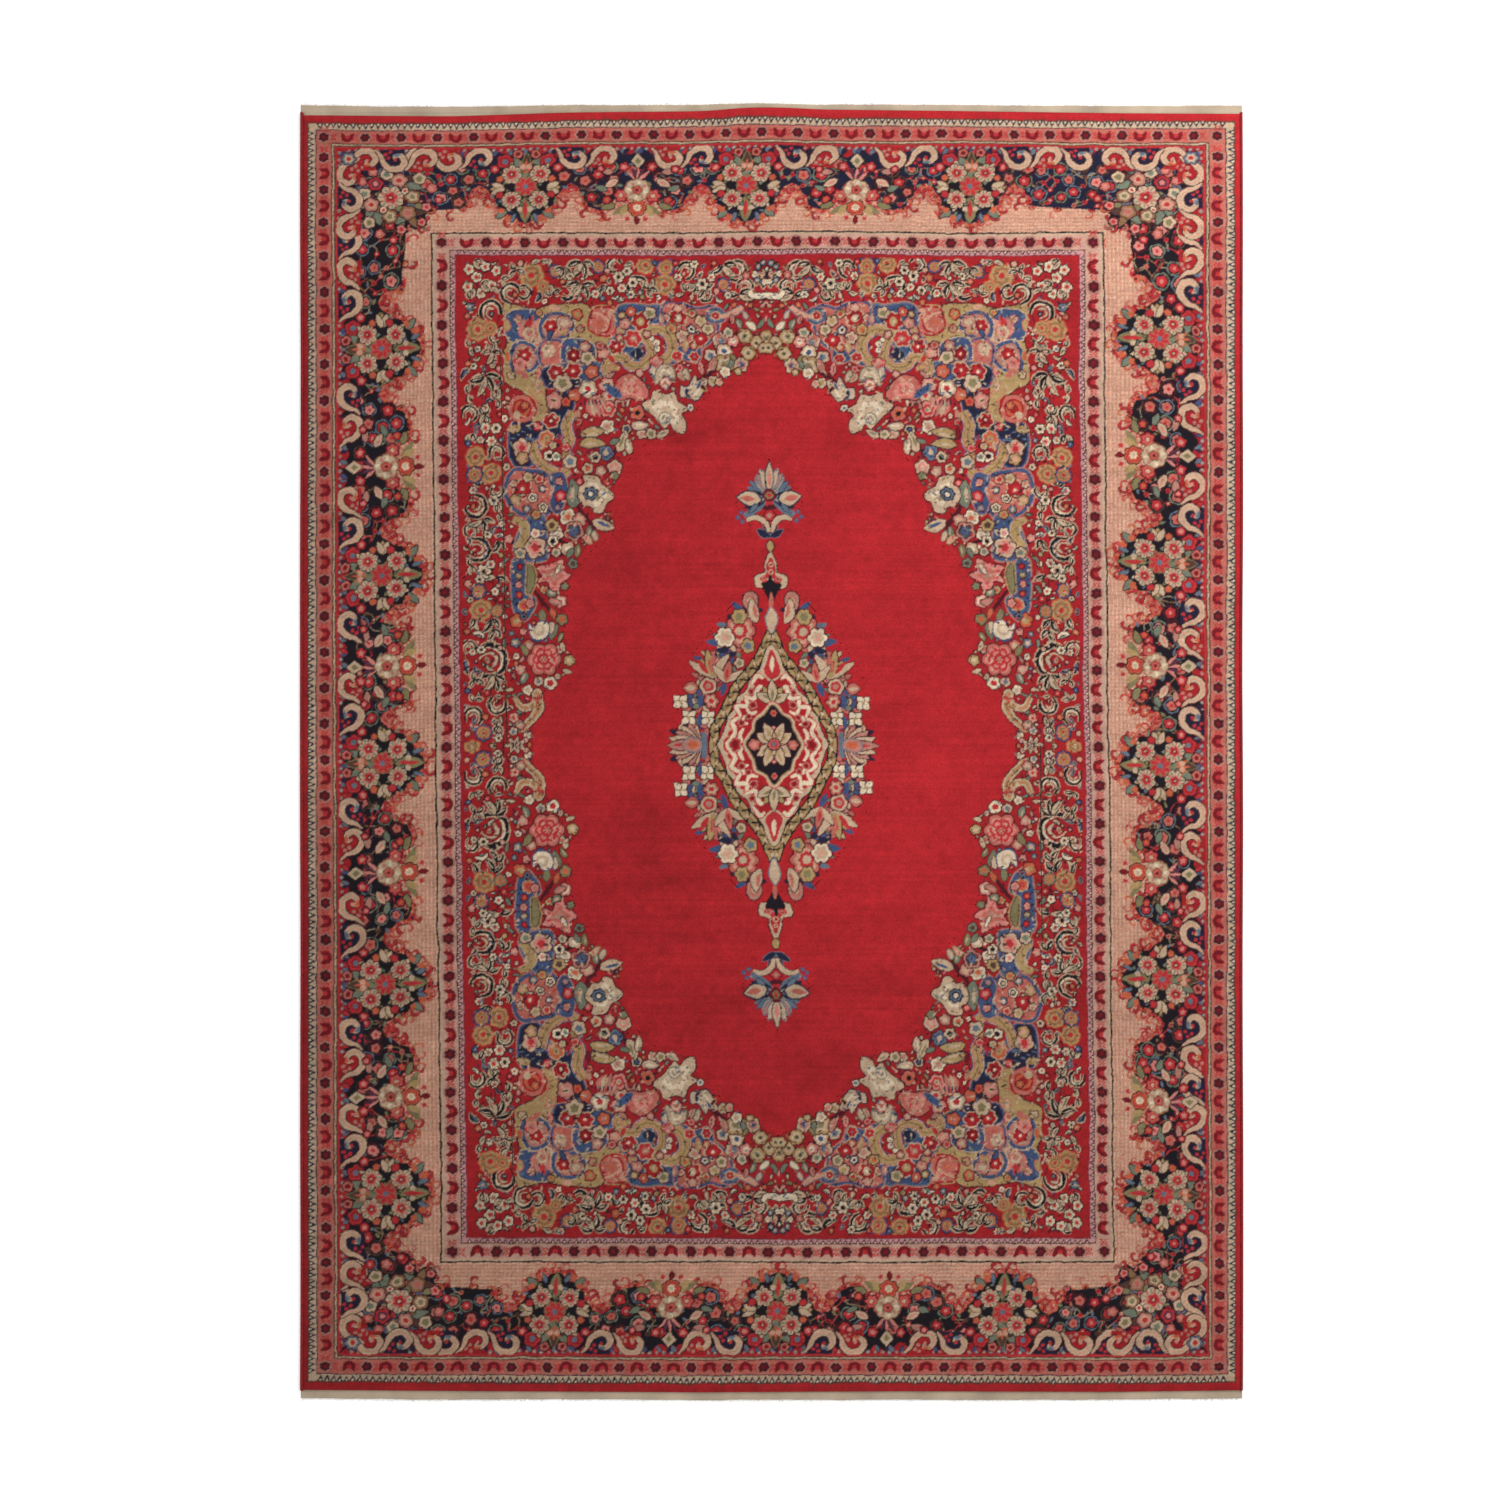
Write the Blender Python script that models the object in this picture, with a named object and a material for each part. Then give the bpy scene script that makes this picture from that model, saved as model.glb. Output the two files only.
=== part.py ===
"""A room-size hand-knotted medallion carpet, lying flat on the floor.

X runs across the carpet, Y along it and Z up, and the origin is on the floor under its middle. A cotton
foundation carries the knotted wool pile. The pile is divided where its design divides: five borders of
four mitred strips each, four corner spandrels, the open field, the medallion and its two pendants. Each
long side is a cotton core overcast with wool, and each end is a flat-woven kilim strip with a locking
weft along the pile and the cut warp ends outside.
"""

import math

import bmesh
import bpy

# Driving dimensions, in metres.
CARPET_WIDTH = 2.740
CARPET_LENGTH = 3.766
SELVEDGE_DIAMETER = 0.010
WRAP_THICKNESS = 0.0015
KILIM_LENGTH = 0.023
KILIM_THICKNESS = 0.0025
FRINGE_LENGTH = 0.004
FRINGE_THICKNESS = 0.0012
LOCKING_WEFT_DIAMETER = 0.0025
FOUNDATION_THICKNESS = 0.003
PILE_TOP = 0.012
GAP = 0.0003  # left between pieces that touch

# The borders from the outside in, with how far the inner side of each lies from the pile's outer edge:
# first along the long sides, then along the ends.
BORDERS = (
    ("edge_band", 0.014, 0.025),
    ("outer_guard", 0.098, 0.100),
    ("main_border", 0.383, 0.362),
    ("inner_guard", 0.467, 0.442),
    ("floral_border", 0.587, 0.566),
)

# The inside of the design sits a little off the carpet's middle, and leans as it goes up.
DRIFT_X = 0.004
DRIFT_Y = 0.018
LEAN = 0.0155

# One quarter of each outline, from the X axis to the Y axis, and how far each stretch bows outwards.
FIELD_TIPS = ((0.700, 0.0), (0.573, 0.237), (0.450, 0.613), (0.240, 0.910), (0.0, 1.133))
FIELD_BOWS = (0.040, 0.080, 0.090, 0.035)
MEDALLION_TIPS = ((0.310, 0.0), (0.285, 0.130), (0.190, 0.310), (0.055, 0.455), (0.0, 0.545))
MEDALLION_BOWS = (-0.025, 0.015, 0.010, -0.010)
PENDANT_TIPS = ((0.0, -0.125), (0.045, -0.080), (0.100, 0.0), (0.045, 0.060), (0.0, 0.130))
PENDANT_CENTRE = 0.700

ARC_STEPS = 6
ROUND_SIDES = 16
CORD_SIDES = 8
SMOOTH_ANGLE = math.radians(50)

RED = (0.440, 0.030, 0.035)
DARK_RED = (0.270, 0.018, 0.024)
SALMON = (0.520, 0.210, 0.150)
CREAM = (0.560, 0.450, 0.300)
NAVY = (0.020, 0.028, 0.060)
GOLD = (0.450, 0.300, 0.130)
COTTON = (0.640, 0.580, 0.470)
BORDER_COLOURS = {
    "edge_band": DARK_RED,
    "outer_guard": SALMON,
    "main_border": NAVY,
    "inner_guard": SALMON,
    "floral_border": RED,
}

PILE_HALF_WIDTH = CARPET_WIDTH / 2 - SELVEDGE_DIAMETER
PILE_HALF_LENGTH = CARPET_LENGTH / 2 - KILIM_LENGTH - FRINGE_LENGTH
INNER_REACH = BORDERS[-1][1]


def textile(name, colour, roughness):
    """A plain fibre material of one colour."""
    material = bpy.data.materials.new(name)
    material.use_nodes = True
    shader = material.node_tree.nodes["Principled BSDF"]
    shader.inputs["Base Color"].default_value = (*colour, 1.0)
    shader.inputs["Roughness"].default_value = roughness
    shader.inputs["Metallic"].default_value = 0.0
    material.diffuse_color = (*colour, 1.0)
    return material


def add_object(name, mesh, colour, roughness=0.9):
    """Turn a bmesh into a named object with a material of its own."""
    bmesh.ops.recalc_face_normals(mesh, faces=mesh.faces[:])
    data = bpy.data.meshes.new(name)
    mesh.to_mesh(data)
    mesh.free()
    data.materials.append(textile(name, colour, roughness))
    obj = bpy.data.objects.new(name, data)
    bpy.context.scene.collection.objects.link(obj)
    return obj


def shrunk(outline, distance):
    """Move every side of a closed outline inwards by a distance, keeping its corners sharp."""
    count = len(outline)
    area = sum(
        outline[i - 1][0] * outline[i][1] - outline[i][0] * outline[i - 1][1] for i in range(count)
    )
    turn = math.copysign(1.0, area)
    moved = []
    for i, (x, y) in enumerate(outline):
        before = outline[i - 1]
        after = outline[(i + 1) % count]
        normals = []
        for (x0, y0), (x1, y1) in ((before, (x, y)), ((x, y), after)):
            length = math.hypot(x1 - x0, y1 - y0)
            normals.append((-turn * (y1 - y0) / length, turn * (x1 - x0) / length))
        (ax, ay), (bx, by) = normals
        reach = distance / (1.0 + ax * bx + ay * by)
        moved.append((x + (ax + bx) * reach, y + (ay + by) * reach))
    return moved


def slab(name, outline, low, high, colour, holes=()):
    """A flat piece between two heights. Its outline gives up half the gap that touching pieces keep."""
    mesh = bmesh.new()
    edges = []
    loops = [shrunk(outline, GAP / 2)]
    loops += [shrunk(hole, -GAP / 2) for hole in holes]
    for loop in loops:
        corners = [mesh.verts.new((x, y, low)) for x, y in loop]
        edges += [mesh.edges.new((a, b)) for a, b in zip(corners, corners[1:] + corners[:1])]
    filled = bmesh.ops.triangle_fill(mesh, use_beauty=True, edges=edges)
    faces = [item for item in filled["geom"] if isinstance(item, bmesh.types.BMFace)]
    raised = bmesh.ops.extrude_face_region(mesh, geom=faces)
    top = [item for item in raised["geom"] if isinstance(item, bmesh.types.BMVert)]
    bmesh.ops.translate(mesh, verts=top, vec=(0.0, 0.0, high - low))
    return add_object(name, mesh, colour)


def rectangle(half_width, y_low, y_high):
    """A rectangle centred across the carpet."""
    return [(-half_width, y_low), (half_width, y_low), (half_width, y_high), (-half_width, y_high)]


def cord(name, diameter, length, location, heading, colour):
    """A solid round cord along X or Y, by its heading about Z."""
    mesh = bmesh.new()
    bmesh.ops.create_cone(
        mesh,
        cap_ends=True,
        segments=CORD_SIDES,
        radius1=diameter / 2,
        radius2=diameter / 2,
        depth=length,
    )
    return lay_round(add_object(name, mesh, colour), location, heading)


def sleeve(name, diameter, bore, length, location, heading, colour):
    """A round sleeve that is open at both ends, turned from its wall's section."""
    mesh = bmesh.new()
    section = (
        (bore / 2, -length / 2),
        (diameter / 2, -length / 2),
        (diameter / 2, length / 2),
        (bore / 2, length / 2),
    )
    corners = [mesh.verts.new((radius, 0.0, z)) for radius, z in section]
    wall = [mesh.edges.new((a, b)) for a, b in zip(corners, corners[1:] + corners[:1])]
    bmesh.ops.spin(
        mesh,
        geom=corners + wall,
        cent=(0.0, 0.0, 0.0),
        axis=(0.0, 0.0, 1.0),
        angle=math.tau,
        steps=ROUND_SIDES,
        use_merge=True,
    )
    return lay_round(add_object(name, mesh, colour), location, heading)


def lay_round(obj, location, heading):
    """Lay a piece turned about Z down on its side, and smooth its round faces."""
    obj.data.shade_smooth()
    obj.data.set_sharp_from_angle(angle=SMOOTH_ANGLE)
    obj.rotation_euler = (math.pi / 2, 0.0, heading)
    obj.location = location
    return obj


def woven(x, y, depth=1.0):
    """Where a point of the straight drawing lies in the carpet. Depth is 0 at the pile's edge, 1 inside."""
    return (x + depth * (DRIFT_X - LEAN * y), y + depth * DRIFT_Y)


def ring_corners(side_reach, end_reach):
    """The four corners of the line between two borders, anticlockwise from the bottom left."""
    half_length = PILE_HALF_LENGTH - end_reach
    straight = rectangle(PILE_HALF_WIDTH - side_reach, -half_length, half_length)
    return [woven(x, y, side_reach / INNER_REACH) for x, y in straight]


def bowed(start, end, bow):
    """Points along an arc from start up to, but without, end. It bows to the right of the way it runs."""
    (x0, y0), (x1, y1) = start, end
    half_x = (x1 - x0) / 2
    half_y = (y1 - y0) / 2
    half_chord = math.hypot(half_x, half_y)
    spread = 2 * math.atan(bow / half_chord)
    points = []
    for step in range(ARC_STEPS):
        angle = spread * (2 * step / ARC_STEPS - 1)
        along = 1 + math.sin(angle) / math.sin(spread)
        out = (math.cos(angle) - math.cos(spread)) / math.sin(spread)
        points.append((x0 + half_x * along + half_y * out, y0 + half_y * along - half_x * out))
    return points


def quarter_outline(tips, bows):
    """The quarter of an outline between the X axis and the Y axis."""
    points = []
    for start, end, bow in zip(tips, tips[1:], bows):
        points += bowed(start, end, bow)
    return points + [tips[-1]]


def all_round(quarter):
    """Repeat a quarter outline about both axes, into a closed one."""
    upper = quarter + [(-x, y) for x, y in reversed(quarter[:-1])]
    return upper + [(x, -y) for x, y in reversed(upper[1:-1])]


def as_woven(points):
    """Carry an inner outline from the straight drawing into the carpet."""
    return [woven(x, y) for x, y in points]


def pile_area(name, outline, colour, holes=()):
    """One area of the knotted pile, standing on the foundation."""
    return slab(name, outline, FOUNDATION_THICKNESS + GAP, PILE_TOP, colour, holes)


def build_foundation():
    """The warps and wefts that every knot is tied on, under the whole of the pile."""
    outline = rectangle(PILE_HALF_WIDTH, -PILE_HALF_LENGTH, PILE_HALF_LENGTH)
    slab("foundation", outline, 0.0, FOUNDATION_THICKNESS, COTTON)


def build_borders():
    """Five nested borders, each of four strips that meet in mitres at the corners."""
    outer = ring_corners(0.0, 0.0)
    for name, side_reach, end_reach in BORDERS:
        inner = ring_corners(side_reach, end_reach)
        for side, first in (("bottom", 0), ("right", 1), ("top", 2), ("left", 3)):
            second = (first + 1) % 4
            outline = [outer[first], outer[second], inner[second], inner[first]]
            pile_area(f"{name}_{side}", outline, BORDER_COLOURS[name])
        outer = inner


def build_spandrels(field_quarter):
    """The corner pieces between the floral border and the scalloped edge of the open field."""
    half_width = PILE_HALF_WIDTH - BORDERS[-1][1]
    half_length = PILE_HALF_LENGTH - BORDERS[-1][2]
    corner = [(0.0, half_length), (half_width, half_length), (half_width, 0.0)]
    quarter = field_quarter + corner
    for end, up in (("top", 1), ("bottom", -1)):
        for side, across in (("left", -1), ("right", 1)):
            outline = as_woven([(across * x, up * y) for x, y in quarter])
            pile_area(f"spandrel_{end}_{side}", outline, GOLD)


def build_field(field_quarter):
    """The open field, and the medallion and pendants that are knotted into openings in it."""
    medallion = as_woven(all_round(quarter_outline(MEDALLION_TIPS, MEDALLION_BOWS)))
    pendant = list(PENDANT_TIPS) + [(-x, y) for x, y in reversed(PENDANT_TIPS[1:-1])]
    pendants = {
        end: as_woven([(x, up * (PENDANT_CENTRE + y)) for x, y in pendant])
        for end, up in (("top", 1), ("bottom", -1))
    }
    openings = [medallion, *pendants.values()]
    pile_area("open_field", as_woven(all_round(field_quarter)), RED, openings)
    pile_area("medallion", medallion, CREAM)
    for end, outline in pendants.items():
        pile_area(f"pendant_{end}", outline, CREAM)


def build_selvedges():
    """Each long side: a cotton core inside a sleeve of overcast wool."""
    bore = SELVEDGE_DIAMETER - 2 * WRAP_THICKNESS
    length = 2 * PILE_HALF_LENGTH - GAP
    along = 0.0
    for side, across in (("left", -1), ("right", 1)):
        place = (across * (CARPET_WIDTH - SELVEDGE_DIAMETER) / 2, 0.0, SELVEDGE_DIAMETER / 2)
        sleeve(f"selvedge_wrap_{side}", SELVEDGE_DIAMETER, bore, length, place, along, DARK_RED)
        cord(f"selvedge_core_{side}", bore - 2 * GAP, length, place, along, COTTON)


def build_ends():
    """Each end: the kilim strip, the locking weft that lies on it along the pile, and the warp ends."""
    kilim_end = PILE_HALF_LENGTH + KILIM_LENGTH
    fringe_end = CARPET_LENGTH / 2 + GAP / 2
    weft_y = PILE_HALF_LENGTH + LOCKING_WEFT_DIAMETER / 2 + GAP
    weft_z = KILIM_THICKNESS + LOCKING_WEFT_DIAMETER / 2 + GAP
    weft_length = 2 * PILE_HALF_WIDTH - GAP
    across = math.pi / 2
    for end, up in (("top", 1), ("bottom", -1)):
        kilim = [(x, up * y) for x, y in rectangle(PILE_HALF_WIDTH, PILE_HALF_LENGTH, kilim_end)]
        slab(f"kilim_end_{end}", kilim, 0.0, KILIM_THICKNESS, COTTON)
        fringe = [(x, up * y) for x, y in rectangle(PILE_HALF_WIDTH, kilim_end, fringe_end)]
        slab(f"fringe_{end}", fringe, 0.0, FRINGE_THICKNESS, COTTON)
        place = (0.0, up * weft_y, weft_z)
        cord(f"locking_weft_{end}", LOCKING_WEFT_DIAMETER, weft_length, place, across, COTTON)


def main():
    """Build the carpet in an empty scene."""
    for obj in list(bpy.data.objects):
        bpy.data.objects.remove(obj, do_unlink=True)
    field_quarter = quarter_outline(FIELD_TIPS, FIELD_BOWS)
    build_foundation()
    build_borders()
    build_spandrels(field_quarter)
    build_field(field_quarter)
    build_selvedges()
    build_ends()


main()
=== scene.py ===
"""The looks of a room-size hand-knotted medallion carpet, knot by knot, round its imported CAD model.

The design is drawn like a weaver's cartoon, on a straight grid with three samples to a knot each way. The
knots' colours come from it. Every knot is then a point of the pile's surface, carried from the straight
drawing to where it lies in the leaning, hand-made carpet. Lengths in the drawing are in centimetres, and
everything else is in metres.
"""

import bpy
import numpy as np
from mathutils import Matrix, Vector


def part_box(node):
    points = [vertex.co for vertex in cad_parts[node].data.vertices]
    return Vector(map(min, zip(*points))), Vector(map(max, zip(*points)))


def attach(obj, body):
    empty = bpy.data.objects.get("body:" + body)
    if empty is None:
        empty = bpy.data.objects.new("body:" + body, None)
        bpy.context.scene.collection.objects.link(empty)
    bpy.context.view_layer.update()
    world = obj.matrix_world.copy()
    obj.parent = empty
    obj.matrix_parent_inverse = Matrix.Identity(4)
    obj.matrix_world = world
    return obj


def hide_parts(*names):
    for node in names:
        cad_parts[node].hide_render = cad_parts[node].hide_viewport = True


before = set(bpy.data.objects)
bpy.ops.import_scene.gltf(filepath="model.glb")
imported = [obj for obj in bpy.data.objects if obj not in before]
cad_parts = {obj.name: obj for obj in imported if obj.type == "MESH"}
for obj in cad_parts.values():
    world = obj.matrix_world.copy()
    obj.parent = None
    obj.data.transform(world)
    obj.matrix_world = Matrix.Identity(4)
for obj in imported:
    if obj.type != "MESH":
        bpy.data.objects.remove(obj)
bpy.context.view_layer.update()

# ---- the straight drawing, in centimetres from its middle ----

KNOT = 0.29
SAMPLES = 3
HALF_COLUMNS = 469
HALF_ROWS = 647
SAMPLE = KNOT / SAMPLES
HALF_WIDTH = HALF_COLUMNS * KNOT      # 136.0
HALF_LENGTH = HALF_ROWS * KNOT        # 187.6
# How far inwards each band of the design ends: edge, outer guard, main border, inner guard, floral border.
REACHES = (1.4, 9.8, 38.3, 46.7, 58.7)

# The dyes, as sRGB from 0 to 255.
PALETTE = {
    "field": (160, 32, 37), "red": (146, 30, 34), "deep": (108, 22, 29), "maroon": (70, 23, 30),
    "black": (26, 21, 27), "navy": (32, 33, 54), "blue": (58, 72, 104), "steel": (88, 99, 112),
    "cream": (176, 150, 124), "ivory": (200, 180, 154), "coral": (184, 136, 114), "salmon": (168, 92, 80),
    "pink": (188, 116, 106), "rose": (164, 44, 47), "orange": (172, 84, 58), "gold": (156, 128, 86),
    "olive": (116, 106, 74), "green": (102, 108, 92), "brown": (76, 52, 43), "purple": (84, 42, 58),
    "blush": (160, 110, 97), "mesh": (160, 102, 84), "tan": (124, 92, 64), "mauve": (176, 128, 126),
    "sage": (138, 122, 98), "midnight": (29, 28, 46), "shell": (176, 136, 120),
}
NAMES = list(PALETTE)
INK = {n: i for i, n in enumerate(NAMES)}


def around(count):
    """Even angles round a circle."""
    return np.arange(count) * (2 * np.pi / count)


def polar(radius, angle):
    """Points at these distances from the origin and at these angles."""
    return np.stack([radius * np.cos(angle), radius * np.sin(angle)], axis=1)


def disc(radius, sides=16):
    """A round outline."""
    return polar(radius * np.ones(sides), around(sides))


def lobed(radius, lobes, notch=0.25, turn=0.0):
    """A round outline with lobes, like a simple blossom."""
    a = around(lobes * 8)
    return polar(radius * (1 - notch * (1 - np.abs(np.cos(lobes * a / 2)))), a + turn)


def smooth(points, closed=True, steps=5):
    """A flowing line through given points."""
    p = np.asarray(points, float)
    if closed:
        q = np.concatenate([p[-1:], p, p[:2]])
    else:
        q = np.concatenate([2 * p[:1] - p[1:2], p, 2 * p[-1:] - p[-2:-1]])
    t = (np.arange(steps) / steps)[:, None, None]
    a, b, c, d = q[:-3], q[1:-2], q[2:-1], q[3:]
    s = 0.5 * (2 * b + (c - a) * t + (2 * a - 5 * b + 4 * c - d) * t**2 + (3 * b - a - 3 * c + d) * t**3)
    s = s.transpose(1, 0, 2).reshape(-1, 2)
    return s if closed else np.concatenate([s, p[-1:]])


def normals(p, closed=True):
    """Unit vectors square to a line."""
    if closed:
        d = np.roll(p, -1, axis=0) - np.roll(p, 1, axis=0)
    else:
        d = np.gradient(p, axis=0)
    d /= np.maximum(np.hypot(d[:, 0], d[:, 1]), 1e-9)[:, None]
    return np.stack([d[:, 1], -d[:, 0]], axis=1)


def grown(points, distance):
    """An outline moved outwards, or inwards if the distance is negative."""
    p = np.asarray(points, float)
    x, y = p[:, 0], p[:, 1]
    area = np.sum(x * np.roll(y, -1) - np.roll(x, -1) * y)
    return p + normals(p) * distance * np.sign(area)


def band(points, width, taper=0.0, steps=5):
    """An open stroke of a width; taper 1 thins it to nothing at both ends."""
    p = smooth(points, closed=False, steps=steps) if len(points) > 2 else np.asarray(points, float)
    t = np.linspace(0, 1, len(p))
    half = width / 2 * (1 - taper * np.abs(2 * t - 1) ** 2)
    n = normals(p, closed=False) * half[:, None]
    return np.concatenate([p + n, (p - n)[::-1]])


def leaf(length, width, bend=0.0, sides=8):
    """A pointed leaf from the origin along +X."""
    t = np.linspace(0, 1, sides + 1)
    mid = np.stack([length * t, 4 * bend * t * (1 - t)], axis=1)
    half = width / 2 * np.sin(np.pi * t**0.85) ** 0.8
    n = normals(mid, closed=False) * half[:, None]
    return np.concatenate([mid + n, (mid - n)[-2:0:-1]])


class Brush:
    """Paints shapes on the drawing in a frame of its own."""

    def __init__(self, canvas, place=(0.0, 0.0), axes=((1.0, 0.0), (0.0, 1.0)), sample=SAMPLE):
        self.canvas = canvas
        self.sample = sample
        self.place = np.array(place, float)
        self.axes = np.array(axes, float)

    def at(self, x, y, turn=0.0, size=1.0, mirror=1):
        """A brush at a place of this one's frame, turned by degrees."""
        c, s = np.cos(np.radians(turn)), np.sin(np.radians(turn))
        local = np.array([[c, s], [-s * mirror, c * mirror]]) * size
        return Brush(self.canvas, self.place + np.array([x, y]) @ self.axes, local @ self.axes, self.sample)

    def fill(self, points, ink):
        """Dye the inside of an outline."""
        p = (np.asarray(points, float) @ self.axes + self.place
            + (HALF_WIDTH, HALF_LENGTH)) / self.sample - 0.5
        rows, columns = self.canvas.shape
        x, y = p[:, 0], p[:, 1]
        top, bottom = max(0, int(np.ceil(y.min()))), min(rows - 1, int(np.floor(y.max())))
        left, right = max(0, int(np.floor(x.min()))), min(columns, int(np.ceil(x.max())) + 1)
        if bottom < top or right <= left:
            return
        line = np.arange(top, bottom + 1)[:, None]
        x2, y2 = np.roll(x, -1), np.roll(y, -1)
        cut = (y <= line) != (y2 <= line)
        row, side = np.nonzero(cut)
        across = x[side] + (row + top - y[side]) * (x2[side] - x[side]) / (y2[side] - y[side])
        column = np.clip(np.ceil(across).astype(int) - left, 0, right - left)
        flips = np.zeros((bottom - top + 1, right - left + 1), bool)
        np.logical_xor.at(flips, (row, column), True)
        inside = np.logical_xor.accumulate(flips[:, :-1], axis=1)
        self.canvas[top : bottom + 1, left:right][inside] = INK.get(ink, ink)

    def shape(self, points, ink, line=None, width=0.35):
        """Dye an outline, with a thin line of another dye round it."""
        if line:
            self.fill(grown(points, width / np.hypot(*self.axes[0])), line)
        self.fill(points, ink)

    def stroke(self, points, width, ink, taper=0.0, line=None, edge=0.3):
        """Dye a line of some width through points, edged with another dye."""
        if line:
            self.fill(band(points, width + 2 * edge, taper), line)
        self.fill(band(points, width, taper), ink)


def flower(b, radius, lobes, inks, line="maroon", notch=0.28, turn=0.0):
    """A round flower of lobed rings, from the outside in."""
    if line:
        b.fill(lobed(radius + 0.35, lobes, notch * 0.8, turn), line)
    for i, ink in enumerate(inks):
        r = radius * (1 - i / len(inks)) ** 0.9
        b.fill(lobed(r, lobes, notch, turn) if r > 0.7 else disc(r, 10), ink)


def tulip(b, length, width, inks, line="maroon"):
    """An open three-petalled lily along +X: side petals, middle petal, heart."""
    side, middle, heart = inks
    for grow, colours in ((0.35, (line, line)), (0.0, (side, middle))):
        for s in (-1, 1):
            b.at(0, 0, s * 32, mirror=s).fill(smooth([(-grow, 0), (length * 0.45, width * 0.30 + grow),
                (length * 0.95 + grow, width * 0.28), (length * 0.62, -0.02 * width - grow * 0.5),
                (length * 0.3, -width * 0.1 - grow)]), colours[0])
        b.fill(leaf(length + grow * 1.5, width * 0.42 + 2 * grow), colours[1])
    b.at(length * 0.18, 0).fill(leaf(length * 0.5, width * 0.16), heart)


def bud(b, size, ink, halo="green", line="black"):
    """A rosebud with a ring of outline round it and two small sepals."""
    b.fill(disc(size * 1.62, 14), line)
    b.fill(lobed(size * 1.5, 5, 0.12), halo)
    b.fill(disc(size * 1.22, 12), line)
    b.fill(lobed(size, 5, 0.22), ink)
    b.fill(disc(size * 0.35, 8), "rose" if ink != "rose" else "pink")


def fan(b, length, count, spread, inks, line="black", width=0.9):
    """A fan of feathered leaves that opens along +X."""
    for k in sorted(range(count), key=lambda i: -abs(2 * i - count + 1)):
        turn = spread * (k / (count - 1) - 0.5) if count > 1 else 0
        reach = length * (1 - 0.25 * abs(2 * k / max(count - 1, 1) - 1))
        bend = 0.12 * length * np.sign(turn) if turn else 0
        b.at(0, 0, turn).shape(leaf(reach, width, bend), inks[k % len(inks)], line, 0.25)


def side_frames(canvas, reach):
    """Each side's name, a brush with X along it and Y inwards from a line, and half that line's length."""
    x, y = HALF_WIDTH - reach, HALF_LENGTH - reach
    yield "top", Brush(canvas, (0, y), ((1, 0), (0, -1))), x
    yield "bottom", Brush(canvas, (0, -y), ((1, 0), (0, 1))), x
    yield "left", Brush(canvas, (-x, 0), ((0, 1), (1, 0))), y
    yield "right", Brush(canvas, (x, 0), ((0, 1), (-1, 0))), y


def strip(b, half, low, high, ink):
    """A mitred strip between two distances inwards of a side's line."""
    b.fill([(-half + low, low), (half - low, low), (half - high, high), (-half + high, high)], ink)


def spaced(half, period, inset=0.0):
    """Evenly spaced places along a side, symmetric about its middle, that stop short of the corners."""
    count = int(round(2 * (half - inset) / period))
    return (np.arange(count) - (count - 1) / 2) * (2 * (half - inset) / count)


def zigzag(b, half, low, high, period, ground, tooth, line):
    """A guard stripe of teeth that point inwards, each with a small tooth of another dye in it."""
    strip(b, half, low, high, ground)
    h = high - low
    for s in spaced(half, period, high):
        for wide, tall, ink in ((0.46, 0.82, tooth), (0.2, 0.36, line)):
            b.at(s, low).fill([(-period * wide, 0), (period * wide, 0), (0, h * tall)], ink)
    strip(b, half, high - 0.3, high, tooth)


def rosette_guard(b, half, low, high, period, ground, discs, bracket):
    """Round rosettes and cups in turn on a plain ground, with small brackets between."""
    strip(b, half, low, high, ground)
    mid = (low + high) / 2
    r = (high - low) * 0.36
    places = list(spaced(half, period, high + 2)) + [-half + mid, half - mid]
    for k, s in enumerate(places):
        f = b.at(s, mid)
        if k % 2 or abs(s) > half - high:
            f.fill(disc(r * 1.25, 14), "blush")
            f.fill(lobed(r, 6, 0.2), discs[0])
            f.fill(disc(r * 0.38, 8), discs[1])
        else:
            f.fill(smooth([(-1.15 * r, -0.9 * r), (-0.45 * r, -0.5 * r), (0, 0.2 * r),
                (0.45 * r, -0.5 * r), (1.15 * r, -0.9 * r), (1.0 * r, 0.6 * r), (0, 1.1 * r),
                (-1.0 * r, 0.6 * r)]), discs[1])
            f.fill(disc(r * 0.45, 8), "rose")
        g = b.at(s + period / 2, mid)
        for side in (-1, 1):
            g.at(0, 0, mirror=side).stroke([(-0.9, 1.3), (-0.5, 0.3), (0, 1.0), (0.5, 0.3), (0.9, 1.3)],
                0.3, bracket)
        g.fill(disc(0.3, 6), bracket)


def outer_guard(canvas):
    """The plain edge band and the outer guard: a zigzag and a row of rosettes between thin lines."""
    for name, b, half in side_frames(canvas, 0.0):
        strip(b, half, -1, 1.5, "red" if name == "left" else "field")
        strip(b, half, 1.4, 1.75, "brown")
        zigzag(b, half, 1.75, 4.1, 1.9, "cream", "navy", "ivory")
        rosette_guard(b, half, 4.1, 8.6, 5.2, "salmon", ("maroon", "deep"), "rose")
        strip(b, half, 8.6, 8.95, "brown")
        strip(b, half, 8.95, 9.4, "cream")
        strip(b, half, 9.4, 9.75, "brown")


def inner_guard(canvas):
    """The inner guard: a row of rosettes, a purple zigzag and a red line."""
    for _, b, half in side_frames(canvas, REACHES[2]):
        strip(b, half, 0, 0.5, "black")
        strip(b, half, 0.5, 0.9, "cream")
        rosette_guard(b, half, 0.9, 5.6, 5.6, "shell", ("maroon", "deep"), "rose")
        strip(b, half, 5.6, 5.9, "maroon")
        zigzag(b, half, 5.9, 7.4, 1.7, "mauve", "purple", "ivory")
        strip(b, half, 7.3, 8.4, "red")


DEPTH = REACHES[2] - REACHES[1]
BAY = 13.2       # from the middle of a cream cluster to the deepest place of the coral beside it

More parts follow.
